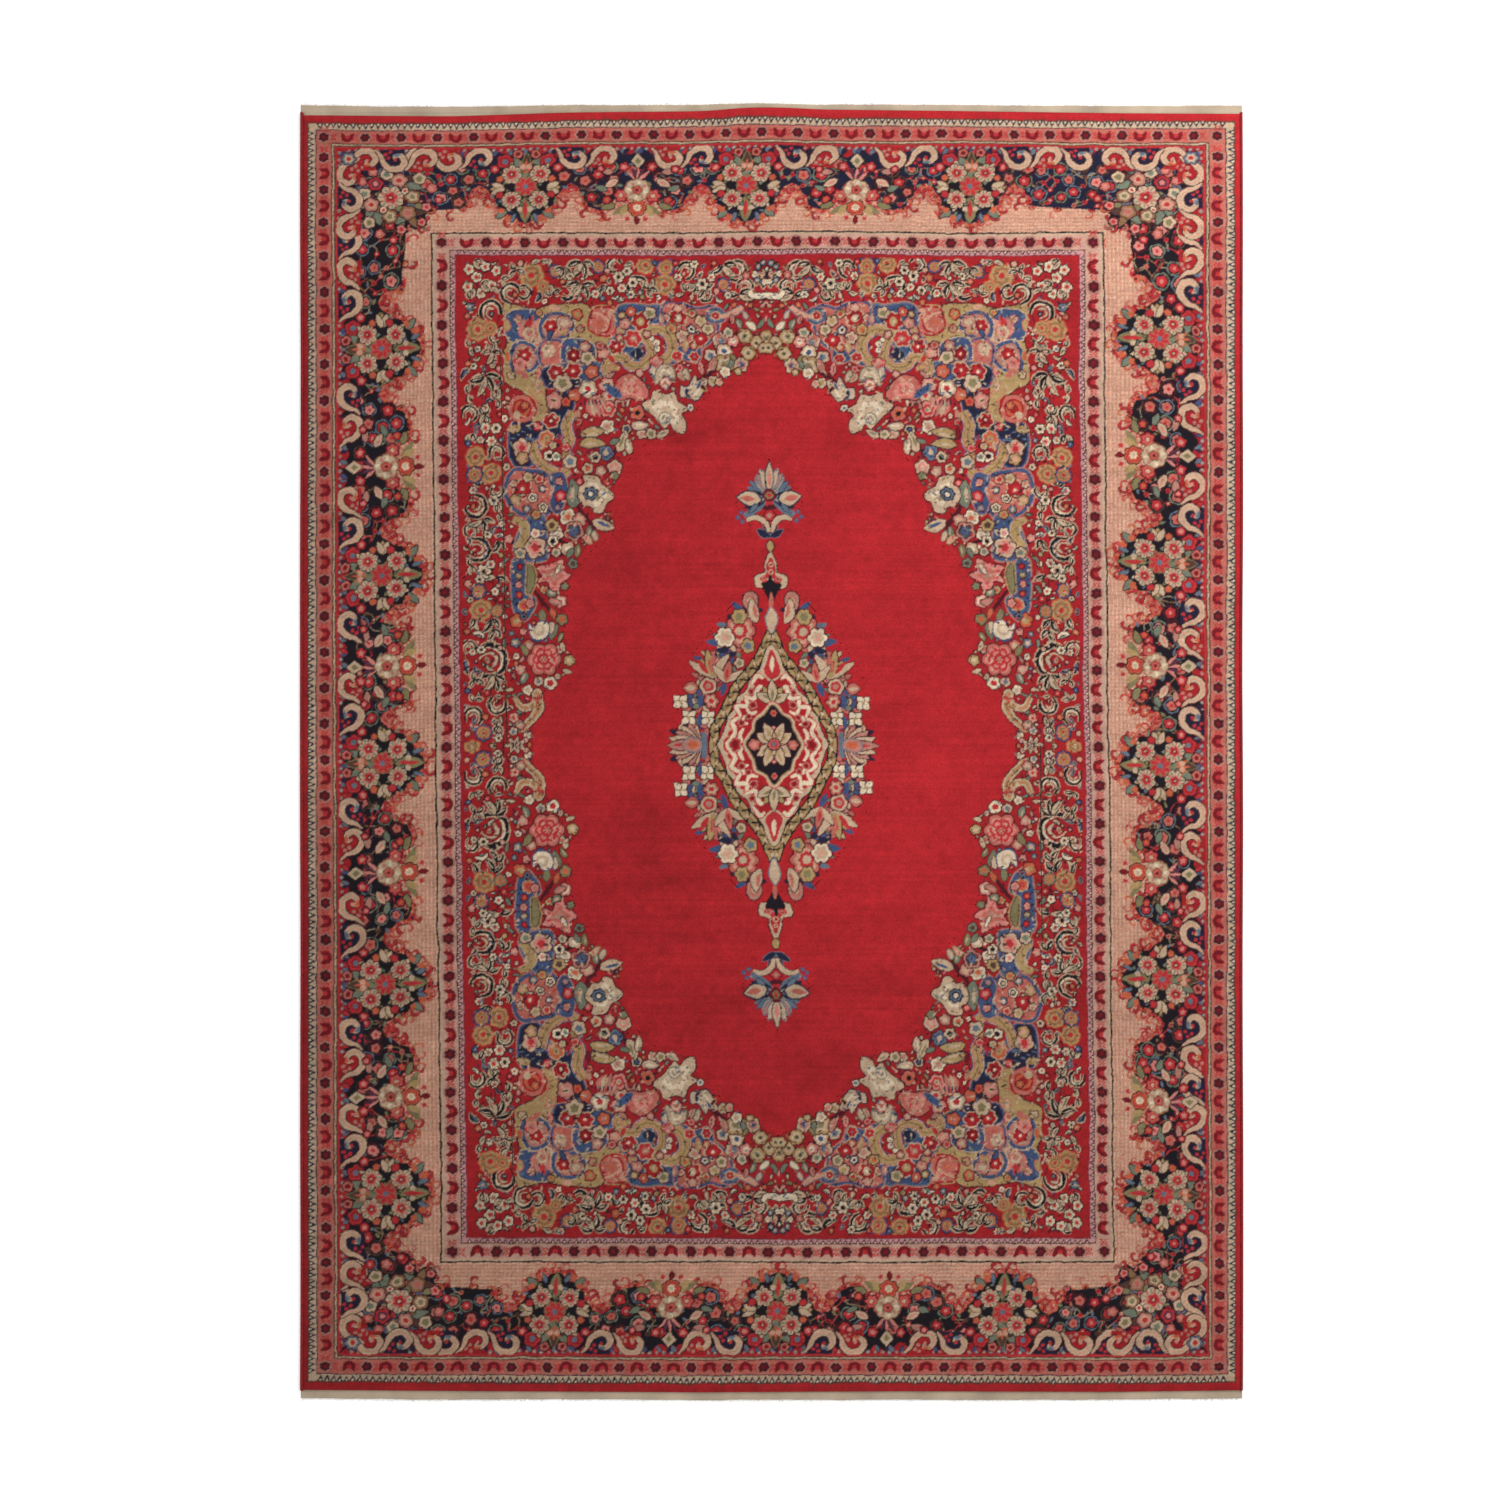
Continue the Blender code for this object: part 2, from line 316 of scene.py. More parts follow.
# Half of the navy ground's inner edge about a cream cluster: how far along, how far inwards.
CREAM_EDGE = ((0, 25.6), (1.8, 25.0), (2.8, 23.2), (5.0, 22.6), (6.4, 20.4), (8.4, 19.6), (8.6, 17.2),
    (10.2, 15.6), (11.0, 13.8), (BAY, 12.6), (15.4, 13.8), (16.2, 15.8), (17.8, 17.4), (18.2, 20.0))
# The same between a bay and a coral cluster, from the cluster's middle outwards.
CORAL_EDGE = ((3.4, 13.0), (4.8, 16.4), (6.6, 17.8), (8.4, 20.6), (10.6, 21.4))


def cloud_edge(half, creams, corals):
    """The inner edge of the navy ground along one side of the main border."""
    points = []
    for middle in creams:
        points += [(middle + d, t) for d, t in CREAM_EDGE] + [(middle - d, t) for d, t in CREAM_EDGE[1:]]
    for middle in corals:
        points += [(middle + d, t) for d, t in CORAL_EDGE] + [(middle - d, t) for d, t in CORAL_EDGE]
    # towards each corner the line turns inwards
    points += [(side * (half - d), t) for d, t in ((24.5, 21.6), (20.5, 23.4)) for side in (-1, 1)]
    return sorted(points)


def main_border(canvas, plan, rng):
    """Navy outer ground, coral inner ground, and the clusters, buds and curled leaves on them."""
    top = REACHES[1]
    for _, b, half in side_frames(canvas, top):
        strip(b, half, 0, DEPTH, "coral")
        coral_mesh(b, half)
    for name, b, half in side_frames(canvas, top):
        edge = cloud_edge(half, *plan[name])
        limit = [(-half, 0), (-half + 23.0, 23.0)] + edge + [(half - 23.0, 23.0), (half, 0)]
        curl_rim(b, edge, rng)
        b.fill(limit, "midnight" if name == "top" else "black")
    for name, b, half in side_frames(canvas, top):
        creams, corals = plan[name]
        edge = cloud_edge(half, creams, corals)
        for (s, t), (s2, t2) in zip(edge[::2], edge[1::2]):
            turn = rng.uniform(0, 360)
            b.at((s + s2) / 2, (t + t2) / 2 - 1.3, turn).shape(leaf(1.9, 0.9),
                rng.choice(["green", "steel", "olive"]), None)
        b.fill([(-half, 0)] + [(s, 2.6 + 1.1 * np.sin(s * 0.9) + 0.7 * np.sin(s * 0.37))
            for s in np.arange(-half + 3, half - 3, 0.8)] + [(half, 0)], "red")
        scatter(b, half, creams, corals, rng)
        scrolls(b, half, creams, corals)
        for s in creams:
            cream_cluster(b.at(s, 13.4), rng)
        for s in corals:
            coral_cluster(b.at(s, 0))
    for x in (-1, 1):
        for y in (-1, 1):
            corner_cluster(Brush(canvas, (x * (HALF_WIDTH - top), y * (HALF_LENGTH - top)),
                ((-x, 0), (0, -y))), rng)
    for _, b, half in side_frames(canvas, top):
        strip(b, half, 0, 0.45, "rose")


def coral_mesh(b, half):
    """A faint mesh of paler lines in the coral ground."""
    for t in np.arange(12.5, DEPTH - 0.4, 1.16):
        strip(b, half, t, t + 0.1, "mesh")
        strip(b, half, t + 0.5, t + 0.62, "ivory")
    for s in np.arange(-half + 12, half - 12, 1.16):
        b.fill([(s, 12), (s + 0.1, 12), (s + 0.1, DEPTH), (s, DEPTH)], "mesh")


def curl_rim(b, edge, rng):
    """Curled red leaves that follow the edge of the navy ground, hooked outwards into the coral."""
    line = smooth(edge, closed=False, steps=3)
    ahead = normals(line, closed=False)
    for k, ((s, t), (nx, ny)) in enumerate(zip(line, ahead)):
        sign = 1 if ny > 0 else -1
        size = rng.uniform(0.8, 1.25)
        c = b.at(s + sign * nx * 0.2, t + sign * ny * 0.2 + 0.1)
        c.fill(disc(size * 1.12, 10), "maroon" if k % 3 else "black")
    for k, ((s, t), (nx, ny)) in enumerate(zip(line, ahead)):
        sign = 1 if ny > 0 else -1
        size = rng.uniform(0.75, 1.15)
        c = b.at(s + sign * nx * 0.35, t + sign * ny * 0.35 + 0.15, rng.uniform(0, 360))
        c.fill(lobed(size, 3, 0.3), ("rose", "orange", "salmon", "orange")[k % 4])
        hook = b.at(s + sign * nx * 0.6, t + sign * ny * 0.6,
            np.degrees(np.arctan2(sign * ny, sign * nx)) + rng.uniform(-50, 50),
            mirror=1 if k % 2 else -1)
        if k % 3:
            hook.stroke([(0, 0), (1.2, 1.0), (2.5, 0.8), (2.9, -0.2), (2.2, -0.7)], 0.55,
                ("orange", "rose", "rose", "salmon")[k % 4], 0.5, "maroon" if k % 4 == 1 else None, 0.2)
        c.at(size * 0.3, 0).fill(disc(size * 0.42, 7), ("maroon", "coral", "rose", "maroon")[k % 4])


def scroll(b, radius, inside, mirror):
    """A cream volute like a breaking wave: it rises from the border's outer line and curls over."""
    f = b.at(0, 0, 0, radius, mirror)
    line = [(-1.55, -0.9), (-1.1, -0.35), (-0.85, 0.35), (-0.2, 0.85), (0.55, 0.72), (0.85, 0.1),
        (0.5, -0.42), (0.02, -0.3), (0.1, 0.1)]
    mid = smooth(line, closed=False)
    t = np.linspace(0, 1, len(mid))
    width = 0.14 + 0.42 * np.sin(np.pi * np.clip(t * 1.05, 0, 1)) ** 0.9
    n = normals(mid, closed=False)
    f.fill([(-1.3, -1.0), (-0.9, 0.2), (-0.1, 0.8), (0.6, 0.6), (0.9, -0.1), (0.8, -1.0)], inside)
    for wide, ink in ((width / 2 + 0.09, "maroon"), (width / 2, "cream"), (width / 7, "coral")):
        wide = wide[:, None]
        f.fill(np.concatenate([mid + n * wide, (mid - n * wide)[::-1]]), ink)
    for k in range(4):
        f.at(0.2, -0.6, 24 + 44 * k).fill(leaf(0.42, 0.16), "steel" if inside != "red" else "orange")
    for x, y in ((-0.75, -0.55), (-0.35, -0.75), (-0.5, -0.2)):
        f.at(x, y).fill(lobed(0.17, 5, 0.2), "rose" if inside != "red" else "blush")
    f.at(0.12, -0.05).fill(disc(0.16, 8), "rose" if inside != "red" else "pink")


def scrolls(b, half, creams, corals):
    """The outer row: cream volutes, filled with navy and red in turn, mirrored about the clusters."""
    for k, s in enumerate(spaced(half, 2.1, 2)):
        leaves = b.at(s, 1.3, 60 + 60 * (k % 2))
        leaves.shape(leaf(2.4, 1.2), ("steel", "blue", "rose", "steel", "navy")[k % 5], "maroon", 0.2)
        flower(b.at(s + 1.0, 1.2), 0.6, 5, ("rose", "blush", "steel")[k % 3:] + ("cream",), None)
    for s in creams:
        for d, inside, way in ((13.6, "midnight", 1), (22.6, "red", -1), (31.4, "midnight", 1)):
            for side in (-1, 1):
                place = s + side * d
                if half - abs(place) > 8 and (not corals or min(abs(place - c) for c in corals) > 4.2):
                    scroll(b.at(place, 4.1), 3.45, inside, side * way)
    for s in corals:
        b.at(s, 0).shape([(-1.9, 5.2), (0, 2.8), (1.9, 5.2), (0, 8.0)], "cream", "black", 0.35)
        b.at(s, 0).fill([(-0.9, 5.3), (0, 4.2), (0.9, 5.3), (0, 6.6)], "olive")


def scatter(b, half, creams, corals, rng):
    """Rosebuds and small blossoms strewn over the navy ground, joined by thin vines."""
    edge = np.array(cloud_edge(half, creams, corals))
    taken = [(s, 13.4, 9.6) for s in creams] + [(s, 15, 5.0) for s in corals]
    stems = []
    # rosebuds, blossoms and single leaves: their size, how far apart they stand, and how often one is tried
    for size, apart, tries in ((1.5, 1.3, 1000), (0.8, 1.5, 1100), (0.42, 1.5, 900)):
        for _ in range(tries):
            s, t = rng.uniform(-half + 3, half - 3), rng.uniform(6.6, 21.5)
            if half - abs(s) < t + 1 or t > np.interp(s, edge[:, 0], edge[:, 1]) - size * 1.2:
                continue
            if any((s - a) ** 2 + (t - c) ** 2 < (r + size * apart) ** 2 for a, c, r in taken):
                continue
            taken.append((s, t, size * apart))
            stems.append((s, t, size))
    stems = np.array(stems)
    for k, (s, t, size) in enumerate(stems):
        gaps = np.hypot(stems[:, 0] - s, stems[:, 1] - t)
        for j in np.argsort(gaps)[1:3]:
            bend = rng.uniform(-0.9, 0.9)
            mid = ((s + stems[j, 0]) / 2 + bend, (t + stems[j, 1]) / 2 + bend)
            b.stroke([(s, t), mid, (stems[j, 0], stems[j, 1])], 0.28, ("sage", "rose", "tan")[k % 3])
    for k, (s, t, size) in enumerate(stems):
        if size > 1:
            bud(b.at(s, t, rng.uniform(0, 360)), size * rng.uniform(0.85, 1.15),
                ("salmon", "rose", "pink", "rose", "salmon")[k % 5],
                ("brown", "steel", "maroon", "green")[k % 4])
        elif size > 0.6:
            b.at(s, t, rng.uniform(0, 72)).shape(lobed(size, 5, 0.3),
                ("salmon", "rose", "rose", "brown", "rose")[k % 5], None)
            b.at(s, t).fill(disc(0.32, 6), ("deep", "cream", "maroon")[k % 3])
        else:
            b.at(s, t, rng.uniform(0, 360)).fill(leaf(1.3, 0.6), ("steel", "maroon", "brown")[k % 3])


def rose(b, radius, rng):
    """A full cream rose with a ragged rim and a red heart."""
    turn = rng.uniform(0, 6)
    b.fill(lobed(radius + 0.35, 7, 0.2, turn), "black")
    b.fill(lobed(radius, 7, 0.2, turn), "cream")
    for a in around(7) + turn:
        f = b.at(radius * 0.5 * np.cos(a), radius * 0.5 * np.sin(a), np.degrees(a))
        f.fill(leaf(radius * 0.5, 0.4), "green")
        b.at(radius * 0.72 * np.cos(a + 0.4), radius * 0.72 * np.sin(a + 0.4)).fill(disc(radius * 0.12,
            6), "salmon")
    b.fill(lobed(radius * 0.62, 6, 0.2, turn), "blush")
    b.fill(lobed(radius * 0.5, 5, 0.3, turn), "rose")
    b.fill(lobed(radius * 0.26, 5, 0.3, turn + 0.6), "deep")
    b.fill(disc(radius * 0.12, 6), "cream")


def cream_cluster(f, rng):
    """Four cream roses about a red rosette, with petals at the sides, leaves outwards and a leaf inwards."""
    f.fill(lobed(10.0, 8, 0.14), "black")
    for turn, size in ((-90, 8.6), (-62, 8.0), (-118, 8.0), (-40, 6.6), (-140, 6.6)):
        f.at(0, -2.4, turn).shape(leaf(size, 3.0), "brown" if size > 8.3 else "green", "olive", 0.25)
        f.at(0, -4.6, turn).fill(leaf(size * 0.5, 0.9), "orange")
    for x in (-1, 1):
        flower(f.at(x * 6.2, -8.4), 2.3, 5, ("rose", "red", "steel"), "maroon", 0.2)
        flower(f.at(x * 9.2, -6.0), 1.3, 5, ("rose", "pink"), "maroon", 0.2)
        flower(f.at(x * 2.6, -10.6), 1.4, 5, ("salmon", "deep"), "maroon", 0.2)
        for turn in (0, 24, -24):
            f.at(x * 6.2, 0.4, 90 - x * 90 + turn).shape(leaf(4.0, 1.9), "cream" if turn else "gold",
                "brown", 0.25)
        f.at(x * 5.4, 8.0, 90 - x * 52).shape(leaf(3.8, 1.9), "green", "black", 0.25)
        f.at(x * 2.8, 8.8, 90 - x * 18).shape(leaf(3.2, 1.2), "steel", "black", 0.25)
    f.at(0, 3.4, 90).shape(leaf(8.8, 3.6), "olive", "black", 0.3)
    f.at(0, 4.6, 90).fill(leaf(6.2, 1.3), "rose")
    for x in (-1, 1):
        for k in range(5):
            f.at(x * 4.2, -4.1, 72 * k + 20 * x).shape(leaf(4.0, 1.9),
                ("tan", "green", "olive", "brown", "cream")[k], "black", 0.25)
            f.at(x * 4.0, 4.3, 72 * k - 30 * x).shape(leaf(3.9, 1.8),
                ("green", "cream", "steel", "olive", "tan")[k], "black", 0.25)
        rose(f.at(x * 4.2, -4.1), 3.0, rng)
        rose(f.at(x * 4.0, 4.3), 2.9, rng)
        f.at(x * 1.5, 7.4).fill(lobed(0.9, 5, 0.2), "cream")
        f.at(x * 0.9, -6.4).fill(lobed(0.9, 5, 0.2), "coral")
        f.at(x * 7.4, 2.6).shape(lobed(1.1, 5, 0.2), "rose", "maroon", 0.3)
        f.at(x * 7.6, -2.6).shape(lobed(1.0, 5, 0.2), "orange", "maroon", 0.3)
    f.fill(lobed(3.2, 8, 0.2), "tan")
    for k in range(8):
        f.at(0, 0, 45 * k + 22).shape(leaf(3.2, 1.5), "rose", "salmon", 0.15)
    f.fill(disc(0.8, 8), "steel")
    for x in (-1, 1):
        for y, size in ((9.4, 1.1), (6.6, 1.0)):
            f.at(x * (11.4 - y * 0.7), y + 1.2, rng.uniform(0, 90)).fill(lobed(size, 4, 0.3), "orange")


def coral_cluster(f):
    """A pale rose and an orange flower on the coral ground, with blossoms and leaves beside them."""
    for x in (-1, 1):
        for turn, ink, size in ((56, "olive", 6.0), (34, "gold", 4.6)):
            f.at(x * 2.4, 19.6, 90 - x * turn).shape(leaf(size, 2.1), ink, None)
        for px, y, turn, ink, length, width in ((6.4, 19.4, 70, "olive", 4.0, 2.2),
                (8.8, 14.8, 110, "green", 3.6, 1.8)):
            f.at(x * px, y, 90 - x * turn).shape(leaf(length, width), ink, "black", 0.25)
        f.at(x * 5.6, 11.4, 90 - x * 60).shape(leaf(4.4, 2.2), "cream", "maroon", 0.3)
        f.at(x * 6.2, 11.8, 90 - x * 60).fill(leaf(2.8, 0.8), "pink")
        f.at(x * 7.0, 9.0, 90 - x * 96).shape(leaf(4.2, 1.8), "blush", "black", 0.25)
        flower(f.at(x * 4.6, 16.6), 2.1, 6, ("rose", "salmon", "rose", "cream"), "maroon")
        flower(f.at(x * 4.0, 7.2), 1.5, 5, ("rose", "pink"), "black")
        flower(f.at(x * 8.8, 18.0), 1.2, 5, ("rose", "orange"), "black")
        flower(f.at(x * 10.8, 8.0), 1.1, 5, ("rose", "pink"), "black")
        f.at(x * 2.6, 24.2, 90 - x * 30).shape(lobed(0.8, 4, 0.4), "rose", "coral", 0.2)
    for turn in (-44, -22, 0, 22, 44):
        f.at(0, 12.0, -90 + turn).shape(leaf(4.8, 1.0), "purple" if turn % 44 else "pink", "black", 0.15)
    flower(f.at(0, 20.6), 2.6, 7, ("orange", "rose", "orange", "ivory", "cream"), "maroon", 0.2)
    f.shape(lobed(3.5, 8, 0.12) + (0, 14.8), "cream", "tan", 0.35)
    for k in range(8):
        f.at(0, 14.8, 45 * k + 10).at(1.5, 0).fill(leaf(1.7, 1.0), "blush" if k % 2 else "ivory")
    flower(f.at(0, 14.8), 1.5, 5, ("rose", "salmon", "deep"), "olive", 0.25)
    f.at(0, 23.4, 90).shape(leaf(2.6, 1.3), "deep", "maroon", 0.2)


def corner_cluster(f, rng):
    """A spray of large pale flowers across a corner of the main border, on a rim of curled leaves."""
    rim = ((27.6, 21.4), (25.8, 23.4), (26.4, 26.0), (24.8, 24.8), (26.0, 26.4), (23.4, 25.8), (21.4, 27.6))
    for x, y in rim:
        f.at(x - 1.2, y - 1.2).fill(disc(2.4, 12), "black")
    for k, (x, y) in enumerate(rim):
        f.at(x, y, 30 * k - 40).stroke([(-0.6, 0), (0.8, 1.1), (2.0, 0.6), (1.7, -0.5)], 0.6,
            ("orange", "rose", "salmon")[k % 3], 0.5, "maroon", 0.2)
    for x, y, turn, size, ink in ((12, 20, 75, 6, "green"), (20, 12, 15, 6, "green"),
            (23.4, 19, 20, 5, "olive"), (19, 23.4, 70, 5, "olive"), (9, 12, 120, 5, "steel"),
            (12, 9, -30, 5, "steel"), (24, 24, 45, 4, "olive")):
        f.at(x, y, turn).shape(leaf(size, size * 0.42), ink, "black", 0.25)
    for x, y in ((16.8, 16.8), (11.0, 19.0), (19.0, 11.0), (22.0, 22.0)):
        for k in range(5):
            f.at(x, y, 72 * k + 3 * x).shape(leaf(5.2, 2.2), ("tan", "green", "olive", "steel",
                "brown")[k], "midnight", 0.25)
    rose(f.at(16.8, 16.8), 3.9, rng)
    # in pairs about the corner's diagonal, or on it
    for x, y, r, names in ((23.0, 16.4, 2.3, "tan cream olive"), (10.8, 19.0, 2.3, "blush coral rose"),
            (21.8, 21.8, 2.4, "tan blush salmon"), (24.8, 10.2, 1.9, "cream olive"),
            (12.2, 12.2, 2.2, "rose purple pink"), (8.8, 15.4, 1.9, "cream green"),
            (28.6, 13.4, 1.5, "salmon pink"), (19.8, 27.2, 1.4, "pink rose"),
            (8.2, 11.4, 1.4, "salmon pink"), (30.6, 17.4, 1.2, "rose pink"),
            (22.6, 6.9, 1.2, "rose pink"), (14.4, 20.8, 1.0, "ivory rose")):
        for across, along in ((x, y), (y, x))[:1 + (x != y)]:
            flower(f.at(across, along, 11 * across), r, 5, names.split(), "maroon", 0.2)
    flower(f.at(25.8, 25.0, 11 * 25.8), 1.2, 5, "pink rose".split(), "maroon", 0.2)
    for x, m, inside in ((9.0, -1, "red"), (17.4, 1, "midnight"), (26.0, -1, "red")):
        scroll(f.at(x, 4.2), 3.5, inside, m)
        g = Brush(f.canvas, f.place, f.axes[::-1], f.sample)
        scroll(g.at(x, 4.2), 3.5, inside, m)
    flower(f.at(4.0, 4.0), 2.2, 6, ("steel", "cream", "rose"), "maroon", 0.25)


# Along each side: the middles of the cream clusters and of the coral ones.
PLAN = {
    "top": ((-70.5, -6.5, 58.5), (-38, 25.5)),
    "bottom": ((-64, 0.5, 66), (-30.5, 32.5)),
    "left": ((116, 50, -4, -68, -129), (82, 24, -36, -101)),
    "right": ((119, 54, -5, -67, -129), (85, 24, -36, -102)),
}


def mirror_quarters(canvas):
    """Repeat the top right quarter about both axes."""
    rows, columns = canvas.shape
    cx, cy = columns // 2, rows // 2
    canvas[cy:, :cx] = canvas[cy:, cx:][:, ::-1]
    canvas[:cy] = canvas[cy:][::-1]


def field_edge():
    """The scalloped edge of the open field in one quarter."""
    return smooth([(70, -6), (69, 8), (67.4, 14), (63.4, 17.4), (59, 21.4), (57.4, 25.4), (60, 32),
        (60.4, 44), (57.6, 51), (55, 56), (50.6, 61), (45.4, 64), (46.6, 68.4), (45.8, 74), (44, 80.6),
        (42, 84), (39.6, 88.4), (32.6, 90), (25.4, 91.4), (24.8, 95.4), (22.4, 99.4), (19.4, 103),
        (14.8, 106.2), (9.4, 109.4), (5, 112), (-0.6, 114.6), (-6, 112)], closed=False, steps=3)


def curl(b, x, y, size, turn, mirror):
    """A leaf rolled into a C: black, with a pale edge, and a small scroll inside it."""
    f = b.at(x, y, turn, mirror=mirror)
    arc = np.array([(-0.5, -1.0), (0.45, -0.95), (1.0, -0.1), (0.55, 0.8), (-0.3, 0.95),
        (-0.95, 0.5)]) * size
    inner = np.array([(-0.5, -0.45), (0.2, -0.4), (0.4, 0.1), (-0.05, 0.4)]) * size
    f.stroke(arc, 0.32 * size + 0.9, "cream", 0.35)
    f.stroke(arc, 0.26 * size + 0.45, "black", 0.5)
    f.stroke(arc[1:5] * 0.86, 0.08 * size + 0.2, "ivory", 0.8)
    f.stroke(inner, 0.3 * size + 0.4, "black", 0.5)
    f.stroke(inner, 0.26 * size + 0.1, "cream", 0.5)
    f.stroke(np.array([(-0.4, -0.4), (0.15, -0.35), (0.3, 0.1)]) * size, 0.14 * size, "red", 0.5)


def feathers(b, x, y, length, turns):
    """Long striped leaves from one root: a dark leaf with a pale edge and a pale vein, one for each turn."""
    for k, turn in enumerate(turns):
        reach = length * (0.8 + 0.2 * ((k * 5) % 3) / 2)
        f = b.at(x, y, turn)
        side = 0.14 * reach * (1 if k % 2 else -1)
        thick = 0.55 + 0.2 * reach
        edge, blade, vein = ("black", "cream", "black") if k % 3 == 1 else ("cream", "black", "ivory")
        f.fill(leaf(reach + 0.35, thick + 0.8, side), edge)
        f.fill(leaf(reach, thick + 0.1, side * 0.9), blade)
        f.at(0.25 * reach, side * 0.5).fill(leaf(reach * 0.6, 0.3), vein)


def gold_rosette(b, x, y, size, ring=None):
    """A many-lobed golden flower, with a blue ring round some."""
    if ring:
        b.at(x, y).fill(lobed(size + 1.0, 8, 0.12), "black")
        b.at(x, y).fill(lobed(size + 0.8, 8, 0.14), ring)
    flower(b.at(x, y), size, 8, ("gold", "tan", "gold", "rose"), "orange", 0.14)
    for k in range(8):
        b.at(x, y, 45 * k).at(size * 0.35, 0).fill(leaf(size * 0.55, size * 0.12), "orange")


def dot(f, radius, ink):
    """A small blossom with a cream eye."""
    f.shape(lobed(radius, 5, 0.2), ink, "black", 0.3)
    f.fill(disc(radius * 0.3, 6), "cream")


# The inner edges of the floral border, from the middle of the design.
BORDER_X = 77.6
BORDER_Y = 129.4


def floral_border(b):
    """The border round the corners and the field: feathers, curls, daisies and golden rosettes on red."""
    for x0, y0, x1, y1 in ((BORDER_X, -3, 89.6, 142), (-4, BORDER_Y, 89.6, 142)):
        b.fill([(x0, y0), (x1, y0), (x1, y1), (x0, y1)], "red")
    b.stroke([(77.7, -3), (77.7, BORDER_Y), (-3, 129.6)], 0.35, "maroon")
    # the upright run, from the corner down
    for x, y, size, turn, mirror in ((81.4, 126.4, 3.0, 40, 1), (86, 70.4, 3.0, 200, 1),
            (85.4, 57.6, 3.1, 180, 1), (81.8, 25.2, 4.6, 150, 1), (86.6, 9.2, 2.4, 120, -1),
            (88, 97, 2.2, 90, 1), (79.6, 12.6, 2.4, 300, -1), (87.8, 29, 2.0, 60, 1),
            (80, 119.4, 1.7, 10, -1), (79.6, 74.6, 1.7, 250, 1), (87.4, 63.4, 1.8, 90, -1),
            (79.8, 85.6, 2.0, 80, 1)):
        curl(b, x, y, size, turn, mirror)
    for x, y, length, turns in ((83.2, 108, 6.4, (196, 220, 246, 270, 294, 320, 344)),
            (81, 114.6, 3.6, (60, 110, 180, 240, 300, 0)), (84, 66.6, 4.6, (200, 240, 270, 300, 340)),
            (86.6, 38.6, 4.6, (214, 250, 288)), (81.6, 37.6, 5.0, (230, 262, 300)),
            (80.6, 34.6, 4.2, (236, 268, 300)), (80.8, 21, 5.4, (214, 236, 258, 282, 304)),
            (80.2, 49.4, 4.8, (200, 350)), (86, 20, 3.2, (80, 140, 220, 300)),
            (79.4, 60.2, 4.0, (240, 270, 300)), (84.2, 76.6, 3.4, (30, 70, 150, 110)),
            (87.4, 91.4, 3.6, (250, 290)), (79.6, 101, 3.2, (60, 100, 270)),
            (86.4, 14, 2.8, (60, 120, 180)), (79.6, 6.4, 3.0, (70, 110, 250, 290)),
            (83.4, 96.6, 3.2, (250, 290, 60, 110)), (87.4, 116.6, 3.0, (60, 250)),
            (88, 103, 3.0, (80, 260)), (87.6, 53, 3.0, (90, 260, 230)),
            (79.4, 68.6, 3.0, (80, 100, 270)), (84.6, 123.6, 2.6, (250, 290, 40))):
        feathers(b, x, y, length, turns)
    for x, y, size, ring in ((85.2, 121.4, 3.2, None), (81.6, 121.8, 2.0, None), (86, 84.6, 2.9, None),
            (81.4, 79.8, 2.8, None), (86.2, 79.6, 1.7, "blue"), (84.4, 40.2, 3.1, None),
            (85.2, 45.6, 1.5, "blue"), (79.8, 39.8, 1.1, "green"), (83.6, 4.6, 1.7, "blue"),
            (86.8, 0, 2.5, None)):
        gold_rosette(b, x, y, size, ring)
    for x, y, r in ((83.2, 92.8, 1.6), (80, 92.6, 1.5), (81.4, 89, 1.6), (84.6, 89.4, 1.2),
            (80.6, 72, 1.5), (84.2, 28.6, 1.3), (86.8, 28, 1.0), (83.2, 98.6, 1.1), (79.4, 3, 1.1),
            (79.4, -1.4, 1.1), (86.6, 110.8, 1.1), (83.6, 51.4, 2.1), (81.6, 53.4, 1.3),
            (84.8, 49.2, 1.3), (82.4, 62.2, 1.2), (86.8, 75, 1.2)):
        flower(b.at(x, y), r, 6, ("ivory", "cream", "black" if (x * 10) % 3 > 1 else "rose"), "black", 0.32)
    for x, y, r, ink in ((88.2, 111.6, 0.9, "orange"), (78.9, 110, 0.8, "pink"),
            (88.4, 88.6, 0.9, "blue"), (78.9, 96.6, 0.8, "rose"), (88.3, 66.6, 0.8, "coral"),
            (78.8, 56, 0.7, "gold"), (78.8, 43.2, 1.0, "rose"), (88.4, 34, 0.9, "orange"),
            (78.8, 29, 0.7, "coral"), (82.6, 16, 0.9, "rose"), (88.2, 17, 0.7, "blue"),
            (83, 9, 0.9, "orange"), (88.3, 4.6, 0.8, "coral"), (88.2, 125.4, 0.8, "orange")):
        dot(b.at(x, y), r, ink)
    # the corner
    for x, y in ((88, 138.6), (83.4, 139.4), (80.2, 138.2), (88.4, 133.8), (85.8, 136.4), (81.4, 133.8),
            (84.6, 131.8)):
        flower(b.at(x, y), 1.5, 5, ("ivory", "cream", "rose"), "black", 0.3)
    for x, y, turns in ((84.4, 134, (150, 210)), (87.2, 130.4, (60, 100)), (79, 131.6, (170, 30)),
            (86.6, 141, (190, 230)), (78.6, 135.4, (160, 220))):
        feathers(b, x, y, 3.0, turns)
